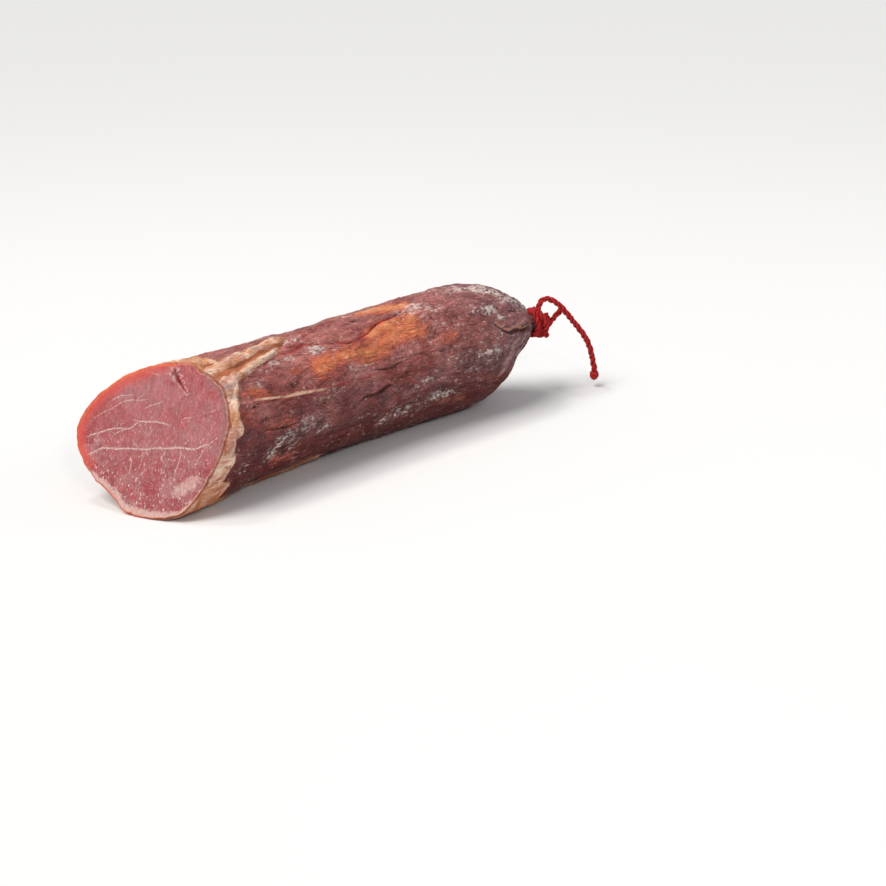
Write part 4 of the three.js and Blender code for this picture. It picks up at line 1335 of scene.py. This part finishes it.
    # the gash: dark red inside, its lips of pale fat
    inGash = remap(plus(fromGash, times(ragged, 0.45)), 0.2, 1.5, 1, 0)
    lips = creaseLines(plus(fromGash, times(ragged, 0.35)), 1.9, 0.8)
    colour = blend(times(lips, times(broken, 0.7)), colour, c["vein"])
    colour = blend(times(inGash, 0.85), colour, c["gashRed"])
    gashCore = remap(plus(fromGash, times(ragged, 0.25)), 0.0, 0.8, 1, 0)
    colour = blend(times(gashCore, 0.9), colour, c["gash"])
    plug(shader.inputs["Base Color"], colour)
    plug(shader.inputs["Roughness"], remap(noise(place, 70, 4, 0.6), 0.3, 0.7, 0.30, 0.52))
    setSockets(shader, {
        "Specular IOR Level": 0.35, "Coat Weight": 0.06, "Coat Roughness": 0.2, "Subsurface Weight": 0.12,
        "Subsurface Radius": (0.0025, 0.0009, 0.0008), "Subsurface Scale": 1.0,
    })
    raised(shader, [
        (fibres, 0.0009), (otherFibres, 0.0006), (marbling, 0.0002), (pores, 0.00035),
        (noise(where, 1600, 3, 0.6), 0.00012),
    ])
    return material


casingMaterial = makeCasingMaterial(casingColours)
meatMaterial = makeMeatMaterial(meatColours)
curedLoin = makeLoin(loinSettings, (casingMaterial, meatMaterial))
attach(curedLoin, "root")
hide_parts("loin")
print("loin made")


# Floor, even daylight from above on the left, and small lamps for the glints
stageSettings = {
    "floorSize": 80.0, "floorColour": (0.83, 0.825, 0.815),
    "worldColour": (0.94, 0.96, 1.0), "worldStrength": 0.36,
    "sun": {"from": (-0.50, 0.12, 0.84), "strength": 2.5, "angle": 34, "colour": (1.0, 0.985, 0.96)},
    "lamps": [
        ("topGlint", (-0.10, 0.35, 0.95), 0.16, 1.6, (1.0, 0.99, 0.97)),
        ("frontGlint", (-0.45, -0.95, 0.75), 0.22, 1.8, (1.0, 0.985, 0.96)),
        ("endGlint", (0.85, -0.55, 0.55), 0.20, 0.8, (0.97, 0.98, 1.0)),
    ],
}


def aimed(name, lamp, place):
    thing = bpy.data.objects.new(name, lamp)
    thing.location = place
    thing.rotation_euler = (Vector((0, 0, 0.04)) - Vector(place)).to_track_quat("-Z", "Y").to_euler()
    bpy.context.collection.objects.link(thing)


def makeStage(settings):
    material, tree, shader = newMaterial("paleFloor")
    mottle = noise(objectPlace(tree), 9, 3, 0.5)
    shade = tuple(value * 0.985 for value in settings["floorColour"])
    plug(shader.inputs["Base Color"], blend(mottle, settings["floorColour"], shade))
    plug(shader.inputs["Roughness"], remap(mottle, 0, 1, 0.85, 0.95))
    setSockets(shader, {"Specular IOR Level": 0.2})
    half = settings["floorSize"] / 2
    corners = [(-half, -half, 0), (half, -half, 0), (half, half, 0), (-half, half, 0)]
    makeObject("paleFloor", corners, [(0, 1, 2, 3)], material, False)
    world = bpy.data.worlds.new("studio")
    world.use_nodes = True
    background = world.node_tree.nodes["Background"]
    background.inputs["Color"].default_value = (*settings["worldColour"], 1)
    background.inputs["Strength"].default_value = settings["worldStrength"]
    bpy.context.scene.world = world
    sun = bpy.data.lights.new("daylight", "SUN")
    sun.energy = settings["sun"]["strength"]
    sun.angle = math.radians(settings["sun"]["angle"])
    sun.color = settings["sun"]["colour"]
    aimed("daylight", sun, settings["sun"]["from"])
    for name, place, size, power, colour in settings["lamps"]:
        lamp = bpy.data.lights.new(name, "AREA")
        lamp.shape = "DISK"
        lamp.size = size
        lamp.energy = power
        lamp.color = colour
        aimed(name, lamp, place)


makeStage(stageSettings)
bpy.context.scene.view_settings.view_transform = "Standard"

print("finishing")
